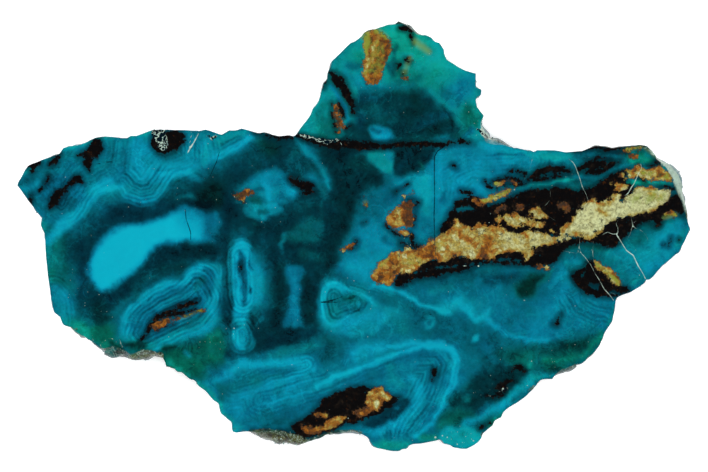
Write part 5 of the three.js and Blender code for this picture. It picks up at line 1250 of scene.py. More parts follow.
def ring_at(places, faces, level):
    """The outline of the frame's slab at one height, counterclockwise from its leftmost point."""
    on_level = np.abs(places[:, 2] - level) < 0.01
    links = {}
    for face in faces:
        flat = all(on_level[v] for v in face)
        for start, end in zip(face, face[1:] + face[:1]):
            if on_level[start] and on_level[end] and not flat:
                links.setdefault(start, set()).add(end)
                links.setdefault(end, set()).add(start)
    corner = min(links, key=lambda v: tuple(places[v, :2]))
    ring = [corner]
    last = None
    while True:
        step = [v for v in links[ring[-1]] if v != last]
        last = ring[-1]
        if not step or step[0] == corner:
            break
        ring.append(step[0])
    outline = places[ring][:, :2]
    ahead = np.roll(outline, -1, axis=0)
    turn = np.sum(outline[:, 0] * ahead[:, 1] - ahead[:, 0] * outline[:, 1])
    if turn < 0:
        outline = np.roll(outline[::-1], 1, axis=0)
    return outline


def lengths_along(line):
    """How far along a line of points each of them is."""
    return np.concatenate([[0], np.cumsum(np.linalg.norm(np.diff(line, axis=0), axis=1))])


def evenly(line, count, endpoint=True):
    """Evenly spaced points along a line of points."""
    along = lengths_along(line)
    wanted = np.linspace(0, along[-1], count, endpoint=endpoint)
    return np.stack([np.interp(wanted, along, line[:, axis]) for axis in (0, 1)], axis=1)


def closed(outline):
    """An outline with its first point again at its end."""
    return np.vstack([outline, outline[:1]])


def outward(ring):
    """Unit vectors that point out of a counterclockwise ring of points."""
    run = np.roll(ring, -1, axis=0) - np.roll(ring, 1, axis=0)
    side = np.stack([run[:, 1], -run[:, 0]], axis=1)
    return side / np.linalg.norm(side, axis=1, keepdims=True)


def grid_inside(ring, step, clearance):
    """Points of a triangular grid that lie inside a ring, at least clearance from its edge."""
    low = ring.min(axis=0)
    high = ring.max(axis=0)
    rows = np.arange(low[1], high[1], step * math.sqrt(3) / 2)
    columns = np.arange(low[0], high[0], step)
    spots = [
        np.stack([columns + (step / 2 if row % 2 else 0), np.full(len(columns), y)], axis=1)
        for row, y in enumerate(rows)
    ]
    spots = np.vstack(spots)
    # Whether a point is inside is settled row by row, from where the ring crosses the row.
    kept = np.zeros(len(spots), dtype=bool)
    ahead = np.roll(ring, -1, axis=0)
    for y in rows:
        cut = (ring[:, 1] > y) != (ahead[:, 1] > y)
        start = ring[cut]
        end = ahead[cut]
        crossings = start[:, 0] + (y - start[:, 1]) * (end[:, 0] - start[:, 0]) / (end[:, 1] - start[:, 1])
        row = np.abs(spots[:, 1] - y) < 1e-9
        kept[row] = (np.searchsorted(np.sort(crossings), spots[row, 0]) % 2).astype(bool)
    spots = spots[kept]
    return spots[gap_to(spots, ring) > clearance]


def gap_to(places, others):
    """Distance from each place to the nearest of some other points."""
    tree = kdtree.KDTree(len(others))
    for index, (x, y) in enumerate(others):
        tree.insert((x, y, 0), index)
    tree.balance()
    return np.array([tree.find((x, y, 0))[2] for x, y in places])


def crack_lines(ring, step):
    """The cracks that are cut into the face, as closely spaced points that stay inside the ring."""
    lines = []
    for chain in CRACKS_IN_THE_FACE:
        spots = np.array(chain)[:, :2]
        count = max(2, int(lengths_along(spots)[-1] / step) + 1)
        line = evenly(spots, count)
        outside = np.flatnonzero(outline_distance(line, ring) > -0.25)
        start = max([i + 1 for i in outside if i < count / 2], default=0)
        end = min([i for i in outside if i >= count / 2], default=count)
        if end - start > 1:
            lines.append(line[start:end])
    return lines


def filled(ring, step, lines=()):
    """Points and triangles that fill a ring, and the ring comes first among the points."""
    spots = grid_inside(ring, step, step * 0.55)
    edges = [(i, (i + 1) % len(ring)) for i in range(len(ring))]
    places = [ring]
    count = len(ring)
    for line in lines:
        edges += [(count + i, count + i + 1) for i in range(len(line) - 1)]
        places.append(line)
        count += len(line)
    if lines:
        spots = spots[gap_to(spots, np.vstack(lines)) > step * 0.5]
    places = np.vstack(places + [spots])
    corners = [Vector(spot) for spot in places]
    outline = [list(range(len(ring)))]
    made, _, faces, origins, *_ = geometry.delaunay_2d_cdt(corners, edges, outline, 1, 1e-5)
    made = np.array([tuple(spot) for spot in made])
    # The triangulation may renumber the ring, so it is put back first.
    order = {}
    for new, old_ones in enumerate(origins):
        for old in old_ones:
            order[old] = new
    first = [order[i] for i in range(len(ring))]
    if len(set(first)) != len(ring):
        raise RuntimeError("Some points of the outline fell together")
    rest = np.setdiff1d(np.arange(len(made)), first)
    shuffle = np.concatenate([first, rest])
    place_of = np.empty(len(made), dtype=int)
    place_of[shuffle] = np.arange(len(made))
    triangles = np.array([[place_of[v] for v in face] for face in faces if len(face) == 3])
    return made[shuffle], triangles


def wall_points(rings, levels, sizes):
    """Points of the broken wall, row by row from the top ring down to the bottom ring, in mm."""
    rough = sizes.wall_roughness / MM
    rows = []
    heights = levels[-1] + (levels[0] - levels[-1]) * np.linspace(0, 1, sizes.wall_rows) ** 1.4
    count = len(rings[0])
    # Where the stone widens below the polished face, it does so in a rough shoulder just under the edge.
    out = outward(rings[-1])
    reach = np.array([np.sum((ring - rings[-1]) * out, axis=1) for ring in rings]).clip(0)
    widest = reach.argmax(axis=0)
    widest_ring = np.array([rings[level][place] for place, level in enumerate(widest)])
    widest_height = np.array(levels)[widest]
    for height in heights:
        upper = min(max(int(np.searchsorted(levels, height)), 1), len(levels) - 1)
        part = (height - levels[upper - 1]) / (levels[upper] - levels[upper - 1])
        ring = rings[upper - 1] * (1 - part) + rings[upper] * part
        rise = (height - widest_height) / np.maximum(levels[-1] - widest_height, 0.01)
        shoulder = (1 - rise.clip(0, 1) ** 6)[:, None]
        above = ((rise > 0) & (reach.max(axis=0) > 0.3))[:, None]
        ring = np.where(above, rings[-1] * (1 - shoulder) + widest_ring * shoulder, ring)
        rows.append(np.column_stack([ring, np.full(count, height)]))
    rows = np.array(rows)
    for index, row in enumerate(rows):
        fade = min(index / 2.5, 1) * min((len(rows) - 1 - index) / 1.5, 1)
        bulge = 0.62 * lumps(row, 2.6, 21, 2) + 0.45 * lumps(row, 0.95, 22, 2) - 0.1
        out = outward(row[:, :2])
        row[:, :2] += out * (bulge * rough * fade)[:, None]
        row[:, 2] += 0.35 * rough * fade * lumps(row + 40, 1.2, 23, 2)
    return rows


def crusted(ring):
    """A ring in mm pushed outward where a crust stands on the wall."""
    height = np.zeros(len(ring))
    for x, y, reach, crust in CRUST:
        gap = np.linalg.norm(ring - (x, y), axis=1)
        height = np.maximum(height, crust * ((reach - gap) / (0.6 * reach)).clip(0, 1))
    return ring + outward(ring) * height[:, None]


def nicked(ring, wear):
    """The top ring with the small nicks of a polished edge, always inside the first outline."""
    depth = wear * (0.35 + 0.65 * lumps(np.column_stack([ring, ring[:, :1] * 0]), 1.1, 31, 3).clip(-0.5, 1))
    return ring - outward(ring) * depth.clip(0)[:, None]


def face_relief(spots, painted, sizes):
    """Height in mm of the polished face above its flat plane, at spots in mm."""
    pit = sizes.pit_depth / MM
    crack = sizes.crack_depth / MM
    rock = ramp(-painted["rock"], 0, 0.35)
    grain = lumps(spots, 0.9, 41, 2)
    height = -pit * rock * (0.35 + 0.5 * grain).clip(0)
    height -= 1.6 * pit * ramp(-painted["druse"], 0, 0.4) * (0.7 + 0.5 * grain)
    height -= 1.9 * pit * ramp(-painted["rind"], 0, 0.5) * (0.6 + 0.6 * grain).clip(0)
    height -= crack * ramp(-painted["white"], -0.03, 0.06)
    height -= 0.5 * crack * ramp(-painted["dark"], -0.03, 0.05)
    return height


def add_values(mesh, channels):
    """Stores each channel on the mesh as a float value at every point."""
    for name, values in channels.items():
        layer = mesh.attributes.new(name, "FLOAT", "POINT")
        layer.data.foreach_set("value", np.asarray(values, dtype=np.float32))


def slab_mesh(sizes):
    """The whole slab: polished face, broken wall and sawn back, closed, with its pattern painted on."""
    places, faces = frame_slab()
    levels = list(np.unique(places[:, 2].round(3)))
    outlines = [ring_at(places, faces, level) for level in levels]
    count = int(lengths_along(closed(outlines[-1]))[-1] / (sizes.edge_step / MM))
    rings = [crusted(evenly(closed(outline), count, endpoint=False)) for outline in outlines]
    rings[-1] = nicked(rings[-1], sizes.arris_wear / MM)
    rows = wall_points(rings, levels, sizes)
    rows = np.clip(rows, places.min(axis=0), places.max(axis=0))

    step = sizes.face_step / MM
    face_spots, face_triangles = filled(rows[0][:, :2], step, crack_lines(rows[0][:, :2], step * 0.8))
    back_spots, back_triangles = filled(rows[-1][:, :2], sizes.back_step / MM)

    face_paint = paint(face_spots)
    relief = face_relief(face_spots, face_paint, sizes)
    relief[:count] = 0
    face_points = np.column_stack([face_spots, levels[-1] + relief])
    middle = rows[1:-1].reshape(-1, 3)
    back_points = np.column_stack([back_spots, np.full(len(back_spots), levels[0])])
    points = np.vstack([face_points, middle, back_points])

    hidden = points[len(face_points) :]
    depth = levels[-1] - hidden[:, 2]
    hidden_paint = paint(hidden[:, :2] + depth[:, None] * PATTERN_LEAN)
    channels = {name: np.concatenate([face_paint[name], hidden_paint[name]]) for name in face_paint}
    counts = (len(face_points), len(middle), len(back_points))
    channels["wall"] = np.repeat((0.0, 1.0, 1.0), counts)
    channels["back"] = np.repeat((0.0, 0.0, 1.0), counts)

    # Each row of the wall starts where its ring starts; the back's ring comes first among its own points.
    starts = [0] + [len(face_points) + count * row for row in range(len(rows) - 2)]
    starts.append(len(face_points) + len(middle))
    around = np.arange(count)
    onward = (around + 1) % count
    quads = []
    for upper, lower in zip(starts[:-1], starts[1:]):
        quads += np.column_stack([upper + around, lower + around, lower + onward, upper + onward]).tolist()
    face_list = facing(face_spots, face_triangles, True).tolist()
    back_list = (facing(back_spots, back_triangles, False) + starts[-1]).tolist()

    mesh = bpy.data.meshes.new("chrysocolla_slab")
    mesh.from_pydata((points * MM).tolist(), [], face_list + quads + back_list)
    mesh.validate()
    add_values(mesh, channels)
    mesh.polygons.foreach_set("use_smooth", [True] * len(mesh.polygons))
    mesh.set_sharp_from_angle(angle=SHARP_ANGLE)
    return mesh


def facing(spots, triangles, up):
    """Triangles turned so that they all face up, or all face down."""
    first, second, third = (spots[triangles[:, corner]] for corner in range(3))
    area = (second[:, 0] - first[:, 0]) * (third[:, 1] - first[:, 1])
    area -= (second[:, 1] - first[:, 1]) * (third[:, 0] - first[:, 0])
    wrong = (area < 0) if up else (area > 0)
    triangles = triangles.copy()
    triangles[wrong] = triangles[wrong][:, ::-1]
    return triangles


# ---------------------------------------------------------------------------------------- materials


class Nodes:
    """Short ways to add nodes to one node tree. Numbers and sockets may stand for each other."""

    def __init__(self, tree):
        self.tree = tree

    def add(self, kind, inputs=None, **settings):
        """A node of one kind, with its plain settings and what goes into its inputs."""
        node = self.tree.nodes.new(kind)
        for name, value in settings.items():
            setattr(node, name, value)
        self.feed_all(node, inputs or {})
        return node

    def feed(self, socket, value):
        """Links a socket to an input, or sets the input's own value."""
        if isinstance(value, bpy.types.NodeSocket):
            self.tree.links.new(value, socket)
        elif value is not None:
            socket.default_value = (*value, 1.0) if socket.type == "RGBA" else value

    def feed_all(self, node, inputs):
        """Feeds several inputs of one node, each given by name or by number."""
        for name, value in inputs.items():
            self.feed(node.inputs[name], value)

    def times(self, first, second, extra=None):
        """The product of two numbers, plus a third if there is one."""
        return self.math("MULTIPLY" if extra is None else "MULTIPLY_ADD", first, second, extra)

    def math(self, operation, first, second=None, third=None, clamp=False):
        """One Math node."""
        node = self.add("ShaderNodeMath", operation=operation, use_clamp=clamp)
        for socket, value in zip(node.inputs, (first, second, third)):
            self.feed(socket, value)
        return node.outputs[0]

    def blend(self, share, first, second):
        """Colour first where share is 0 and second where it is 1."""
        inputs = {0: share, 6: first, 7: second}
        return self.add("ShaderNodeMix", inputs, data_type="RGBA").outputs[2]

    def mix(self, share, first, second):
        """Number first where share is 0 and second where it is 1."""
        inputs = {0: share, 2: first, 3: second}
        return self.add("ShaderNodeMix", inputs, data_type="FLOAT").outputs[0]

    def rise(self, value, low, high, bottom=0.0, top=1.0):
        """Bottom up to low and top from high, eased between."""
        inputs = dict(enumerate((value, low, high, bottom, top)))
        return self.add("ShaderNodeMapRange", inputs, interpolation_type="SMOOTHSTEP").outputs[0]

    def noise(self, place, width, detail=2.0, rough=0.5, bend=0.0, way=None):
        """Noise from about -1 to 1, with lumps about width mm across; way moves it, so that it differs."""
        if way is not None:
            place = self.add("ShaderNodeVectorMath", {0: place, 1: way}, operation="ADD").outputs[0]
        node = self.add(
            "ShaderNodeTexNoise",
            {"Vector": place, "Scale": 1 / width, "Detail": detail, "Roughness": rough, "Distortion": bend},
        )
        return self.times(node.outputs[0], 4.6, -2.3)

    def cells(self, place, width, feature="F1"):
        """A Voronoi node with cells about width mm across."""
        return self.add("ShaderNodeTexVoronoi", {"Vector": place, "Scale": 1 / width}, feature=feature)

    def parts(self, colour):
        """The red, green and blue of a colour as numbers."""
        return self.add("ShaderNodeSeparateColor", {0: colour}).outputs

    def steps(self, value, stops):
        """A colour that changes through given (place, colour) stops."""
        node = self.add("ShaderNodeValToRGB")
        band = node.color_ramp
        while len(band.elements) < len(stops):
            band.elements.new(1.0)
        for element, (place, colour) in zip(band.elements, stops):
            element.position = place
            element.color = (*colour, 1.0)
        self.feed(node.inputs[0], value)
        return node.outputs[0]

    def channel(self, name):
        """A painted channel of the mesh."""
        return self.add("ShaderNodeAttribute", attribute_name=name).outputs["Fac"]

    def raised(self, shape, lift):
        """Geometry moved up by lift metres."""
        way = self.add("ShaderNodeCombineXYZ", {"Z": lift}).outputs[0]
        return self.add("GeometryNodeTransform", {"Geometry": shape, "Translation": way}).outputs[0]

    def millimetres(self):
        """Object coordinates in millimetres."""
        inputs = {0: self.add("ShaderNodeTexCoord").outputs["Object"], "Scale": 1 / MM}
        return self.add("ShaderNodeVectorMath", inputs, operation="SCALE").outputs[0]


def new_group(name, inputs, outputs):
    """An empty shader group with named sockets, and the sockets that carry them inside it."""
    tree = bpy.data.node_groups.new(name, "ShaderNodeTree")
    for direction, sockets in (("INPUT", inputs), ("OUTPUT", outputs)):
        for socket, kind in sockets.items():
            tree.interface.new_socket(socket, in_out=direction, socket_type="NodeSocket" + kind)
    nodes = Nodes(tree)
    return nodes, nodes.add("NodeGroupInput").outputs, nodes.add("NodeGroupOutput").inputs


def use_group(nodes, group, **values):
    """Places a group in a tree, feeds its sockets by name and gives what comes out of it."""
    node = nodes.add("ShaderNodeGroup", node_tree=group)
    nodes.feed_all(node, values)
    return node.outputs[0]


def stone_tint_group(colours):
    """Shader group: the colour of chrysocolla from its tone and how green it is."""
    sockets = {"Tone": "Float", "Green": "Float"}
    nodes, taken, given = new_group("Chrysocolla Tint", sockets, {"Colour": "Color"})
    ramps = []
    for hue, stops in (("blue", (0.0, 0.22, 0.48, 0.7, 1.0)), ("green", (0.0, 0.2, 0.46, 0.7, 1.0))):
        shades = (f"{hue}_black", f"deep_{hue}", f"mid_{hue}", f"light_{hue}", f"bright_{hue}")
        tints = [getattr(colours, shade) for shade in shades]
        ramps.append(nodes.steps(taken["Tone"], tuple(zip(stops, tints))))
    nodes.feed(given["Colour"], nodes.blend(taken["Green"], *ramps))
    return nodes.tree


def ragged_edge_group():
    """Shader group: a crisp, slightly ragged mask from a signed distance in mm."""
    sockets = {"Place": "Vector", "Distance": "Float", "Raggedness": "Float", "Softness": "Float"}
    nodes, taken, given = new_group("Ragged Edge", sockets, {"Mask": "Float"})
    coarse = nodes.noise(taken["Place"], 0.9, 3.0, 0.6)
    fine = nodes.noise(taken["Place"], 0.25, 2.0, 0.6)
    shake = nodes.times(fine, 0.45, coarse)
    moved = nodes.times(shake, taken["Raggedness"], taken["Distance"])
    low = nodes.times(taken["Softness"], -1.0)
    nodes.feed(given["Mask"], nodes.math("SUBTRACT", 1.0, nodes.rise(moved, low, taken["Softness"])))
    return nodes.tree


def crust_group(colours):
    """Shader group: a dark weathered crust with pale threads, paler where it is frosted."""
    sockets = {"Place": "Vector", "Frost": "Float", "Moss": "Float"}
    nodes, taken, given = new_group("Weathered Crust", sockets, {"Colour": "Color"})
    cloud = nodes.noise(taken["Place"], 1.1, 4.0, 0.7, way=(4, 4, 9))
    colour = nodes.blend(nodes.rise(cloud, -0.8, 0.7), colours.deep_green, colours.rind)
    moss = nodes.noise(taken["Place"], 1.6, 3.0, 0.6, way=(3, 9, 2))
    mossy = nodes.math("MAXIMUM", nodes.rise(moss, -0.2, 0.5, 0.0, 0.8), taken["Moss"])
    colour = nodes.blend(mossy, colour, colours.olive)
    colour = nodes.blend(nodes.times(taken["Frost"], 0.8), colour, colours.pale)
    crest = nodes.math("ABSOLUTE", nodes.noise(taken["Place"], 1.2, 3.0, 0.6, 0.8, way=(8, 2, 4)))
    colour = nodes.blend(nodes.rise(crest, 0.02, 0.15, 0.65, 0.0), colour, colours.pale)
    pit = nodes.rise(nodes.noise(taken["Place"], 0.9, 3.0, 0.7), -0.6, 0.2, 0.8, 0.0)
    pit = nodes.times(pit, nodes.math("MULTIPLY_ADD", taken["Frost"], -0.8, 1.0, clamp=True))
    colour = nodes.blend(pit, colour, colours.manganese)
    nodes.feed(given["Colour"], colour)
    return nodes.tree


def host_rock_group(colours):
    """Shader group: the colour of grainy host rock from how stained it is."""
    sockets = {"Place": "Vector", "Stain": "Float", "Moss": "Float"}
    nodes, taken, given = new_group("Host Rock", sockets, {"Colour": "Color"})
    grain = nodes.cells(taken["Place"], 0.55)
    shade = nodes.parts(grain.outputs["Color"])[0]
    cloud = nodes.noise(taken["Place"], 1.7, 4.0, 0.75)
    change = nodes.times(cloud, 0.9, nodes.times(shade, 1.2, -0.6))
    change = nodes.times(change, nodes.math("MINIMUM", taken["Stain"], 0.34))
    stain = nodes.math("ADD", taken["Stain"], change, clamp=True)
    colour = nodes.steps(
        stain,
        (
            (0.0, colours.cream),
            (0.3, colours.straw),
            (0.6, colours.ochre),
            (0.82, colours.rust),
            (1.0, colours.brown_black),
        ),
    )
    gaps = nodes.cells(taken["Place"], 0.55, "DISTANCE_TO_EDGE").outputs["Distance"]
    seam = nodes.rise(gaps, 0.0, 0.09, 0.45, 0.0)
    cut = nodes.times(seam, nodes.rise(nodes.noise(taken["Place"], 1.1), -0.2, 0.5))
    colour = nodes.blend(cut, colour, colours.brown_black)
    shadow = nodes.rise(nodes.noise(taken["Place"], 0.45, 3.0, 0.7), -0.9, 0.65, 0.7, 0.0)
    colour = nodes.blend(shadow, colour, nodes.blend(taken["Stain"], colours.olive, colours.rust))
    lichen = nodes.noise(taken["Place"], 0.8, 3.0, 0.6, way=(1, 6, 3))
    mossy = nodes.times(lichen, 0.35, taken["Moss"])
    colour = nodes.blend(nodes.rise(mossy, 0.1, 0.9, 0.0, 0.85), colour, colours.moss)
    pepper = nodes.rise(nodes.noise(taken["Place"], 0.8, 4.0, 0.75, way=(5, 5, 5)), 0.45, 0.8, 0.0, 0.8)
    colour = nodes.blend(pepper, colour, colours.brown_black)
    nodes.feed(given["Colour"], colour)
    return nodes.tree


def new_material(name):
    """A new material, the nodes of its tree and its Principled shader."""
    material = bpy.data.materials.new(name)
    material.use_nodes = True
    nodes = Nodes(material.node_tree)
    return material, nodes, nodes.tree.nodes["Principled BSDF"]


def slab_material(colours, groups):
    """The slab's finish: polished chrysocolla with every mineral painted where the mesh says."""
    material, nodes, surface = new_material("polished_chrysocolla")
    place = nodes.millimetres()
    wall = nodes.channel("wall")
    back = nodes.channel("back")

    def edge(channel, raggedness, softness, shrink=0.0):
        """A mask of one painted mineral, made smaller all round by shrink mm."""
        gap = nodes.channel(channel)
        if shrink:
            gap = nodes.math("ADD", gap, shrink)
        values = {"Place": place, "Distance": gap, "Raggedness": raggedness, "Softness": softness}
        return use_group(nodes, groups["edge"], **values)

    # Chrysocolla: the painted tone, fine bands that follow the guides, and three sizes of mottling.
    drift = nodes.noise(place, 2.4, 3.0, 0.6)
    phase = nodes.times(drift, 0.13, nodes.channel("phase"))
    phase = nodes.times(nodes.noise(place, 0.8, 1.0, 0.5), 0.03, phase)
    wave = nodes.math("SINE", nodes.times(phase, 2 * math.pi / FINE_BAND))
    second = nodes.math("SINE", nodes.times(phase, 2 * math.pi / BROAD_BAND))
    bands = nodes.times(second, 0.7, wave)
    strength = nodes.times(nodes.channel("fine"), nodes.rise(drift, -0.7, 0.4, 0.35, 1.0))
    base = nodes.channel("tone")
    tone = nodes.times(nodes.times(bands, strength), 0.095, base)
    for width, detail, share in ((3.2, 3.0, 0.06), (0.9, 2.0, 0.045), (0.35, 1.0, 0.028)):
        tone = nodes.times(nodes.noise(place, width, detail, 0.6), share, tone)
    for way, width, share in (((1, 2, 3), 3.4, 0.09), ((9, 5, 2), 2.6, -0.09)):
        curl = nodes.math("ABSOLUTE", nodes.noise(place, width, 4.0, 0.62, 0.5, way=way))
        wisp = nodes.rise(curl, 0.0, 0.22, 1.0, 0.0)
        patch = nodes.rise(nodes.noise(place, 5.0, way=way), -0.1, 0.5)
        tone = nodes.times(nodes.times(wisp, patch), share, tone)
    calm = nodes.rise(base, 0.72, 0.86)
    unbanded = nodes.rise(nodes.channel("fine"), 0.0, 0.2, 0.8, 0.0)
    tone = nodes.mix(nodes.times(calm, unbanded), tone, base)
    halo = nodes.rise(nodes.channel("black"), 0.0, 0.9, 0.5, 1.0)
    tone = nodes.times(tone, halo)
    green = nodes.times(nodes.noise(place, 2.0, 3.0, 0.6, way=(7, 3, 5)), 0.14, nodes.channel("green"))
    tone = nodes.math("MAXIMUM", tone, 0.0)
    colour = use_group(nodes, groups["tint"], Tone=tone, Green=nodes.math("MAXIMUM", green, 0.0))

    # A yellow green stain.
    stained = nodes.times(green, 0.12, nodes.channel("moss"))
    colour = nodes.blend(nodes.rise(stained, 0.2, 1.2, 0.0, 0.6), colour, colours.moss)

    # Quartz dust: small pale grains where the paint asks for them.
    dust = nodes.cells(place, 0.42)
    luck = nodes.parts(dust.outputs["Color"])
    wanted = nodes.math("LESS_THAN", luck[1], nodes.times(nodes.channel("specks"), 0.4))
    reach = nodes.times(luck[0], 0.13, 0.02)
    dot = nodes.rise(nodes.math("SUBTRACT", dust.outputs["Distance"], reach), -0.08, 0.08, 1.0, 0.0)
    dot = nodes.times(nodes.times(dot, wanted), 0.5)
    colour = nodes.blend(dot, colour, colours.pale)

    # Manganese oxide, with a brown tinge and a few green windows.
    black = edge("black", 0.34, 0.12)
    tinge = nodes.rise(nodes.noise(place, 1.1, 5.0, 0.75, way=(2, 8, 1)), 0.1, 1.5)
    soot = nodes.blend(tinge, colours.manganese, colours.brown_black)
    spots = nodes.rise(nodes.noise(place, 0.6, 3.0, 0.7, way=(6, 1, 7)), 0.4, 1.3)
    soot = nodes.blend(nodes.times(spots, 0.35), soot, colours.rust)
    window = nodes.rise(nodes.noise(place, 0.9, 3.0, 0.7, way=(3, 6, 6)), 0.8, 1.1)
    black = nodes.times(black, nodes.times(window, -0.75, 1.0))
    colour = nodes.blend(black, colour, soot)

    # Host rock, and a dark hem where it meets the stone.
    rock = edge("rock", 0.36, 0.1)
    hem = edge("rock", 0.45, 0.16, -0.14)
    colour = nodes.blend(nodes.times(hem, 0.7), colour, colours.brown_black)
    rim = nodes.rise(nodes.channel("rock"), -0.5, 0.0, 0.0, 0.14)
    stain = nodes.math("ADD", nodes.channel("stain"), rim)
    host = use_group(nodes, groups["rock"], Place=place, Stain=stain, Moss=nodes.channel("moss"))
    colour = nodes.blend(rock, colour, host)

    # Weathered rind and a dusty broken wall, and vugs with white quartz threads on dark.
    rind = edge("rind", 0.2, 0.1)
    frost = nodes.channel("specks")
    crust = use_group(nodes, groups["crust"], Place=place, Frost=frost, Moss=nodes.channel("moss"))
    cover = nodes.times(frost, 0.3, 0.7)
    colour = nodes.blend(nodes.times(rind, cover), colour, crust)
    dusty = nodes.rise(nodes.noise(place, 1.8, 4.0, 0.65, way=(4, 4, 9)), -0.4, 0.9, 0.1, 0.75)
    broken = nodes.times(wall, nodes.times(back, -0.8, 1.0))
    colour = nodes.blend(nodes.times(dusty, broken), colour, crust)
    vug = edge("druse", 0.16, 0.08)
    curl = nodes.math("ABSOLUTE", nodes.noise(place, 0.7, 1.0, 0.5, 0.6))
    thread = nodes.rise(curl, 0.04, 0.24, 0.85, 0.0)
    colour = nodes.blend(vug, colour, nodes.blend(thread, colours.blue_black, colours.pale))

    # White and dark hair cracks; the white mask also holds the bright dots, white grains and painted glints.
    white = edge("white", 0.03, 0.05, 0.075)
    fade = nodes.rise(nodes.noise(place, 0.7, 2.0, 0.6), -0.9, 0.4, 0.5, 0.95)
    colour = nodes.blend(nodes.times(white, fade), colour, colours.pale)
    colour = nodes.blend(nodes.times(edge("dark", 0.03, 0.035), 0.9), colour, colours.blue_black)

    # The sawn back is dull, as unpolished stone is.
    sawn = nodes.blend(0.22, colour, colours.rind)
    colour = nodes.blend(back, colour, sawn)
    nodes.feed(surface.inputs["Base Color"], colour)

    # Gloss: glassy stone, duller rock, rind and cracks.
    gloss = nodes.mix(rock, nodes.mix(black, 0.06, 0.1), 0.35)
    gloss = nodes.mix(nodes.math("MAXIMUM", rind, vug), gloss, 0.16)
    gloss = nodes.mix(white, gloss, 0.5)
    gloss = nodes.mix(wall, gloss, 0.2)
    dulled = nodes.mix(back, gloss, 0.62)
    nodes.feed_all(surface, {"Roughness": dulled, "IOR": 1.54, "Specular IOR Level": 0.25})

    # Fine relief: pores in the rock and rind, grain on the wall and saw marks on the back.
    pores = nodes.times(nodes.noise(place, 0.3, 3.0, 0.7), nodes.math("MAXIMUM", rock, rind))
    grain = nodes.times(nodes.noise(place, 0.45, 4.0, 0.7), wall)
    wave_inputs = {"Vector": place, "Scale": 0.55, "Distortion": 1.5, "Detail": 3.0}
    marks = nodes.add("ShaderNodeTexWave", wave_inputs, bands_direction="X")
    saw = nodes.times(marks.outputs["Fac"], nodes.times(back, 0.3))
    height = nodes.math("ADD", nodes.times(pores, 0.35, grain), saw)
    bump = nodes.add("ShaderNodeBump", {"Height": height, "Strength": 0.5, "Distance": 0.12 * MM})
    nodes.feed(surface.inputs["Normal"], bump.outputs[0])
    return material


def quartz_material(colours, groups):
    """The finish of the little quartz crystals: milky, glassy and tinted by the stone they grow on."""
    material, nodes, surface = new_material("drusy_quartz")
    stone = use_group(nodes, groups["tint"], Tone=nodes.channel("tone"), Green=nodes.channel("green"))
    cloud = nodes.rise(nodes.noise(nodes.millimetres(), 0.7, 2.0, 0.5), -0.6, 0.6, 0.2, 0.85)
    milky = nodes.blend(cloud, stone, colours.pale)
    nodes.feed_all(surface, {"Base Color": milky, "Roughness": 0.22, "IOR": 1.544})
    return material


# ------------------------------------------------------------------------------------ quartz crystals


def crystal_tree():
    """Geometry Nodes tree that grows six-sided crystals where a surface's sparkle value is high."""
    tree = bpy.data.node_groups.new("Grow Crystals", "GeometryNodeTree")
    kinds = {
        "Geometry": "Geometry",
        "Density": "Float",
        "Crystal Width": "Float",
        "Crystal Length": "Float",
        "Seed": "Int",
        "Material": "Material",
    }
    for name, kind in kinds.items():
        tree.interface.new_socket(name, in_out="INPUT", socket_type="NodeSocket" + kind)
    tree.interface.new_socket("Geometry", in_out="OUTPUT", socket_type="NodeSocketGeometry")
    nodes = Nodes(tree)
    taken = nodes.add("NodeGroupInput").outputs
    given = nodes.add("NodeGroupOutput").inputs

    sparkle = nodes.add("GeometryNodeInputNamedAttribute", {"Name": "sparkle"}, data_type="FLOAT")
    density = nodes.times(sparkle.outputs["Attribute"], taken["Density"])
    wanted = {"Mesh": taken["Geometry"], "Density": density, "Seed": taken["Seed"]}
    scatter = nodes.add("GeometryNodeDistributePointsOnFaces", wanted, distribute_method="RANDOM")

    # One crystal: a six-sided prism with a point on it, half sunk in the stone.
    half = nodes.times(taken["Crystal Width"], 0.5)
    cones = []
    for top, part_of_length in ((half, 1.0), (0.0, 0.55)):
        depth = nodes.times(taken["Crystal Length"], part_of_length)
        inputs = {"Vertices": 6, "Radius Top": top, "Radius Bottom": half, "Depth": depth}
        cones.append(nodes.add("GeometryNodeMeshCone", inputs, fill_type="NONE").outputs["Mesh"])
    shaft, tip = cones
    whole = nodes.add("GeometryNodeJoinGeometry")
    nodes.feed(whole.inputs[0], nodes.raised(tip, taken["Crystal Length"]))
    nodes.feed(whole.inputs[0], shaft)
    sunk = nodes.raised(whole.outputs[0], nodes.times(taken["Crystal Length"], -0.7))
    welded = nodes.add("GeometryNodeMergeByDistance", {"Geometry": sunk, "Distance": 0.002 * MM})

    # Each one leans and turns its own way, and some are larger than others.
    tilt_range = {0: (-0.7, -0.7, 0.0), 1: (0.7, 0.7, 6.28)}
    tilt = nodes.add("FunctionNodeRandomValue", tilt_range, data_type="FLOAT_VECTOR")
    lean = nodes.add("FunctionNodeEulerToRotation", {0: tilt.outputs[0]}).outputs[0]
    turn = {0: scatter.outputs["Rotation"], 1: lean}
    turned = nodes.add("FunctionNodeRotateRotation", turn, rotation_space="LOCAL")
    bulk = nodes.add("FunctionNodeRandomValue", {2: 0.45, 3: 1.25}, data_type="FLOAT")
    planting = {
        "Points": scatter.outputs["Points"],
        "Instance": welded.outputs[0],
        "Rotation": turned.outputs[0],
        "Scale": bulk.outputs[1],
    }
    planted = nodes.add("GeometryNodeInstanceOnPoints", planting)
    real = nodes.add("GeometryNodeRealizeInstances", {0: planted.outputs[0]})
    finishing = {"Geometry": real.outputs[0], "Material": taken["Material"]}
    finish = nodes.add("GeometryNodeSetMaterial", finishing)
    nodes.feed(given["Geometry"], finish.outputs[0])
    return tree


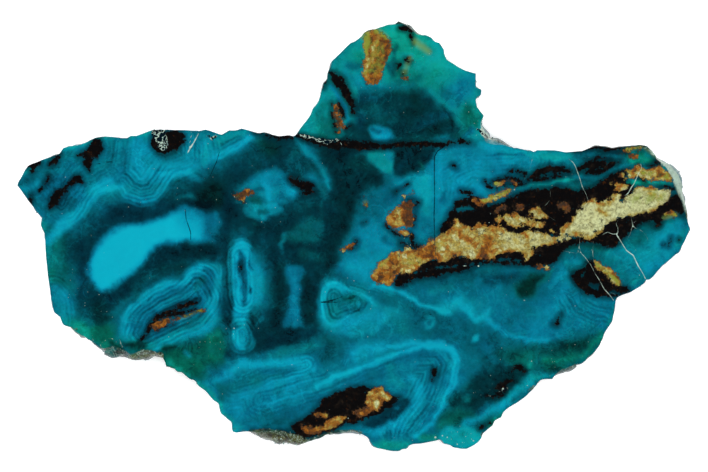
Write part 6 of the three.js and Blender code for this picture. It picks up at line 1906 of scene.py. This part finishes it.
def set_input(modifier, name, value):
    """Sets a named input of a Geometry Nodes modifier by its socket's identifier."""
    for item in modifier.node_group.interface.items_tree:
        if item.item_type == "SOCKET" and item.in_out == "INPUT" and item.name == name:
            modifier[item.identifier] = value
            return
    raise RuntimeError(f"The tree has no input called {name}")


def read_channel(mesh, name):
    """One painted channel of a mesh as an array."""
    values = np.empty(len(mesh.vertices), dtype=np.float32)
    mesh.attributes[name].data.foreach_get("value", values)
    return values


def read_points(mesh):
    """The points of a mesh in mm."""
    places = np.empty(len(mesh.vertices) * 3)
    mesh.vertices.foreach_get("co", places)
    return places.reshape(-1, 3) / MM


def sparkle_of(mesh):
    """Where crystals grow: in the vugs, and thinly on the broken wall's crust and in patches beside it."""
    places = read_points(mesh)
    wall = read_channel(mesh, "wall")
    vug = ramp(-read_channel(mesh, "druse"), 0.02, 0.2)
    rind = ramp(-read_channel(mesh, "rind"), 0.0, 0.5) * wall
    patches = ramp(lumps(places, 4.5, 51, 2), 0.28, 0.5) * wall
    lowest = places[:, 2].min()
    off_back = ramp(places[:, 2], lowest + 0.6, lowest + 1.2)
    return np.maximum(0.5 * vug, 0.15 * np.maximum(rind, patches)) * off_back


# ------------------------------------------------------------------------------------------- operators


def shared_groups(colours):
    """The shader groups that the materials share, each built once."""
    makers = {
        "Chrysocolla Tint": ("tint", lambda: stone_tint_group(colours)),
        "Ragged Edge": ("edge", ragged_edge_group),
        "Host Rock": ("rock", lambda: host_rock_group(colours)),
        "Weathered Crust": ("crust", lambda: crust_group(colours)),
    }
    return {key: bpy.data.node_groups.get(name) or make() for name, (key, make) in makers.items()}


def put_in_scene(name, mesh, material):
    """A finished piece that rides on the slab's body and has its slot."""
    piece = bpy.data.objects.new(name, mesh)
    bpy.context.scene.collection.objects.link(piece)
    if material is not None:
        mesh.materials.clear()
        mesh.materials.append(material)
    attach(piece, BODY)
    return piece


class SLAB_OT_make_slab(bpy.types.Operator):
    """Make the polished slab with its broken wall and sawn back"""

    bl_idname = "slab.make_slab"
    bl_label = "Make Slab"

    def execute(self, context):
        colours = context.scene.slab_colours
        mesh = slab_mesh(context.scene.slab_sizes)
        piece = put_in_scene("chrysocolla_slab", mesh, slab_material(colours, shared_groups(colours)))
        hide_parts(STONE_NODE)
        return {"FINISHED"}


class SLAB_OT_grow_quartz(bpy.types.Operator):
    """Grow small quartz crystals in the slab's vugs and on its broken wall"""

    bl_idname = "slab.grow_quartz"
    bl_label = "Grow Quartz"

    def execute(self, context):
        stone = bpy.data.objects.get("chrysocolla_slab")
        if stone is None:
            raise RuntimeError("Make the slab before its quartz")
        sizes = context.scene.slab_sizes
        colours = context.scene.slab_colours
        ground = stone.data.copy()
        add_values(ground, {"sparkle": sparkle_of(ground)})
        worker = bpy.data.objects.new("crystal_ground", ground)
        context.scene.collection.objects.link(worker)
        modifier = worker.modifiers.new("Crystals", "NODES")
        modifier.node_group = crystal_tree()
        set_input(modifier, "Density", sizes.crystal_density / MM**2)
        set_input(modifier, "Crystal Width", sizes.crystal_width)
        set_input(modifier, "Crystal Length", sizes.crystal_width * CRYSTAL_SLIMNESS)
        set_input(modifier, "Seed", CRYSTAL_SEED)
        set_input(modifier, "Material", quartz_material(colours, shared_groups(colours)))
        settled = worker.evaluated_get(context.evaluated_depsgraph_get())
        mesh = bpy.data.meshes.new_from_object(settled)
        worker.modifiers.remove(modifier)
        bpy.data.objects.remove(worker)
        if len(mesh.polygons) == 0:
            raise RuntimeError("No crystals grew")
        # The polish cuts the crystals off level with the face.
        places = np.clip(read_points(mesh) * MM, cad_low, cad_high)
        mesh.vertices.foreach_set("co", places.ravel())
        mesh.name = "drusy_quartz"
        put_in_scene("drusy_quartz", mesh, None)
        return {"FINISHED"}


class SLAB_OT_set_stage(bpy.types.Operator):
    """Set out the floor, the soft lights and the camera above the slab"""

    bl_idname = "slab.set_stage"
    bl_label = "Set Stage"

    def execute(self, context):
        scene = context.scene
        stage = scene.slab_stage
        half = stage.floor_side / 2
        corners = [(x * half, y * half, -FLOOR_DROP) for x, y in ((-1, -1), (1, -1), (1, 1), (-1, 1))]
        mesh = bpy.data.meshes.new("floor")
        mesh.from_pydata(corners, [], [(0, 1, 2, 3)])
        finish, nodes, surface = new_material("pale_floor")
        white = (1.0, 1.0, 1.0)
        nodes.feed_all(surface, {"Base Color": stage.floor_tint, "Roughness": 0.9, "Specular IOR Level": 0.2})
        nodes.feed_all(surface, {"Emission Color": white, "Emission Strength": stage.floor_glow})
        # The floor is see-through from below, so that the sawn back can be looked at.
        side = nodes.add("ShaderNodeNewGeometry").outputs["Backfacing"]
        nodes.feed(surface.inputs["Alpha"], nodes.math("SUBTRACT", 1.0, side))
        mesh.materials.append(finish)
        floor = bpy.data.objects.new("floor", mesh)
        scene.collection.objects.link(floor)

        # A wide soft light overhead that does not show in the polish, and two softboxes that do.
        for name, place, side, power, glossy in (
            ("overhead", (0.0, 0.05, 1.2), 1.1, stage.overhead_power, False),
            ("left_softbox", (-0.75, 0.55, 0.62), 0.35, stage.side_power, True),
            ("right_softbox", (0.8, -0.45, 0.7), 0.3, stage.side_power * 0.6, True),
        ):
            lamp = bpy.data.lights.new(name, "AREA")
            lamp.shape = "SQUARE"
            lamp.size = side
            lamp.energy = power
            holder = bpy.data.objects.new(name, lamp)
            holder.location = place
            holder.rotation_euler = (-Vector(place)).to_track_quat("-Z", "Y").to_euler()
            holder.visible_glossy = glossy
            scene.collection.objects.link(holder)

        world = bpy.data.worlds.new("studio")
        world.use_nodes = True
        nodes = Nodes(world.node_tree)
        sky = nodes.tree.nodes["Background"]
        camera_ray = nodes.add("ShaderNodeLightPath").outputs["Is Camera Ray"]
        nodes.feed_all(sky, {"Color": white, "Strength": nodes.mix(camera_ray, 0.03, 1.0)})
        scene.world = world
        scene.view_settings.view_transform = "Standard"

        lens = bpy.data.cameras.new("camera")
        lens.lens = stage.lens
        lens.sensor_width = SENSOR_WIDTH
        lens.clip_start = 0.01
        lens.clip_end = 10.0
        camera = bpy.data.objects.new("camera", lens)
        camera.location = (0.0, 0.0, cad_high[2] + stage.view_width * stage.lens / SENSOR_WIDTH)
        scene.collection.objects.link(camera)
        scene.camera = camera
        return {"FINISHED"}


class SLAB_PT_panel(bpy.types.Panel):
    """Lists the steps that make the slab"""

    bl_idname = "SLAB_PT_panel"
    bl_label = "Chrysocolla Slab"
    bl_space_type = "VIEW_3D"
    bl_region_type = "UI"
    bl_category = "Slab"

    def draw(self, context):
        for step in STEPS:
            self.layout.operator(step.bl_idname)
        for settings in (context.scene.slab_sizes, context.scene.slab_colours, context.scene.slab_stage):
            for name in settings.__annotations__:
                self.layout.prop(settings, name)


SETTINGS = (("slab_sizes", SlabSizes), ("slab_colours", StoneColours), ("slab_stage", StageSettings))
STEPS = (SLAB_OT_make_slab, SLAB_OT_grow_quartz, SLAB_OT_set_stage)


def register():
    """Adds the settings, the operators and the panel to Blender."""
    for name, group in SETTINGS:
        bpy.utils.register_class(group)
        setattr(bpy.types.Scene, name, bpy.props.PointerProperty(type=group))
    for made in (*STEPS, SLAB_PT_panel):
        bpy.utils.register_class(made)


def unregister():
    """Takes them away again."""
    for made in (SLAB_PT_panel, *reversed(STEPS)):
        bpy.utils.unregister_class(made)
    for name, group in reversed(SETTINGS):
        delattr(bpy.types.Scene, name)
        bpy.utils.unregister_class(group)


def main():
    """Makes the slab, its quartz and its stage."""
    register()
    bpy.ops.slab.make_slab()
    bpy.ops.slab.grow_quartz()
    bpy.ops.slab.set_stage()


if __name__ == "__main__":
    main()
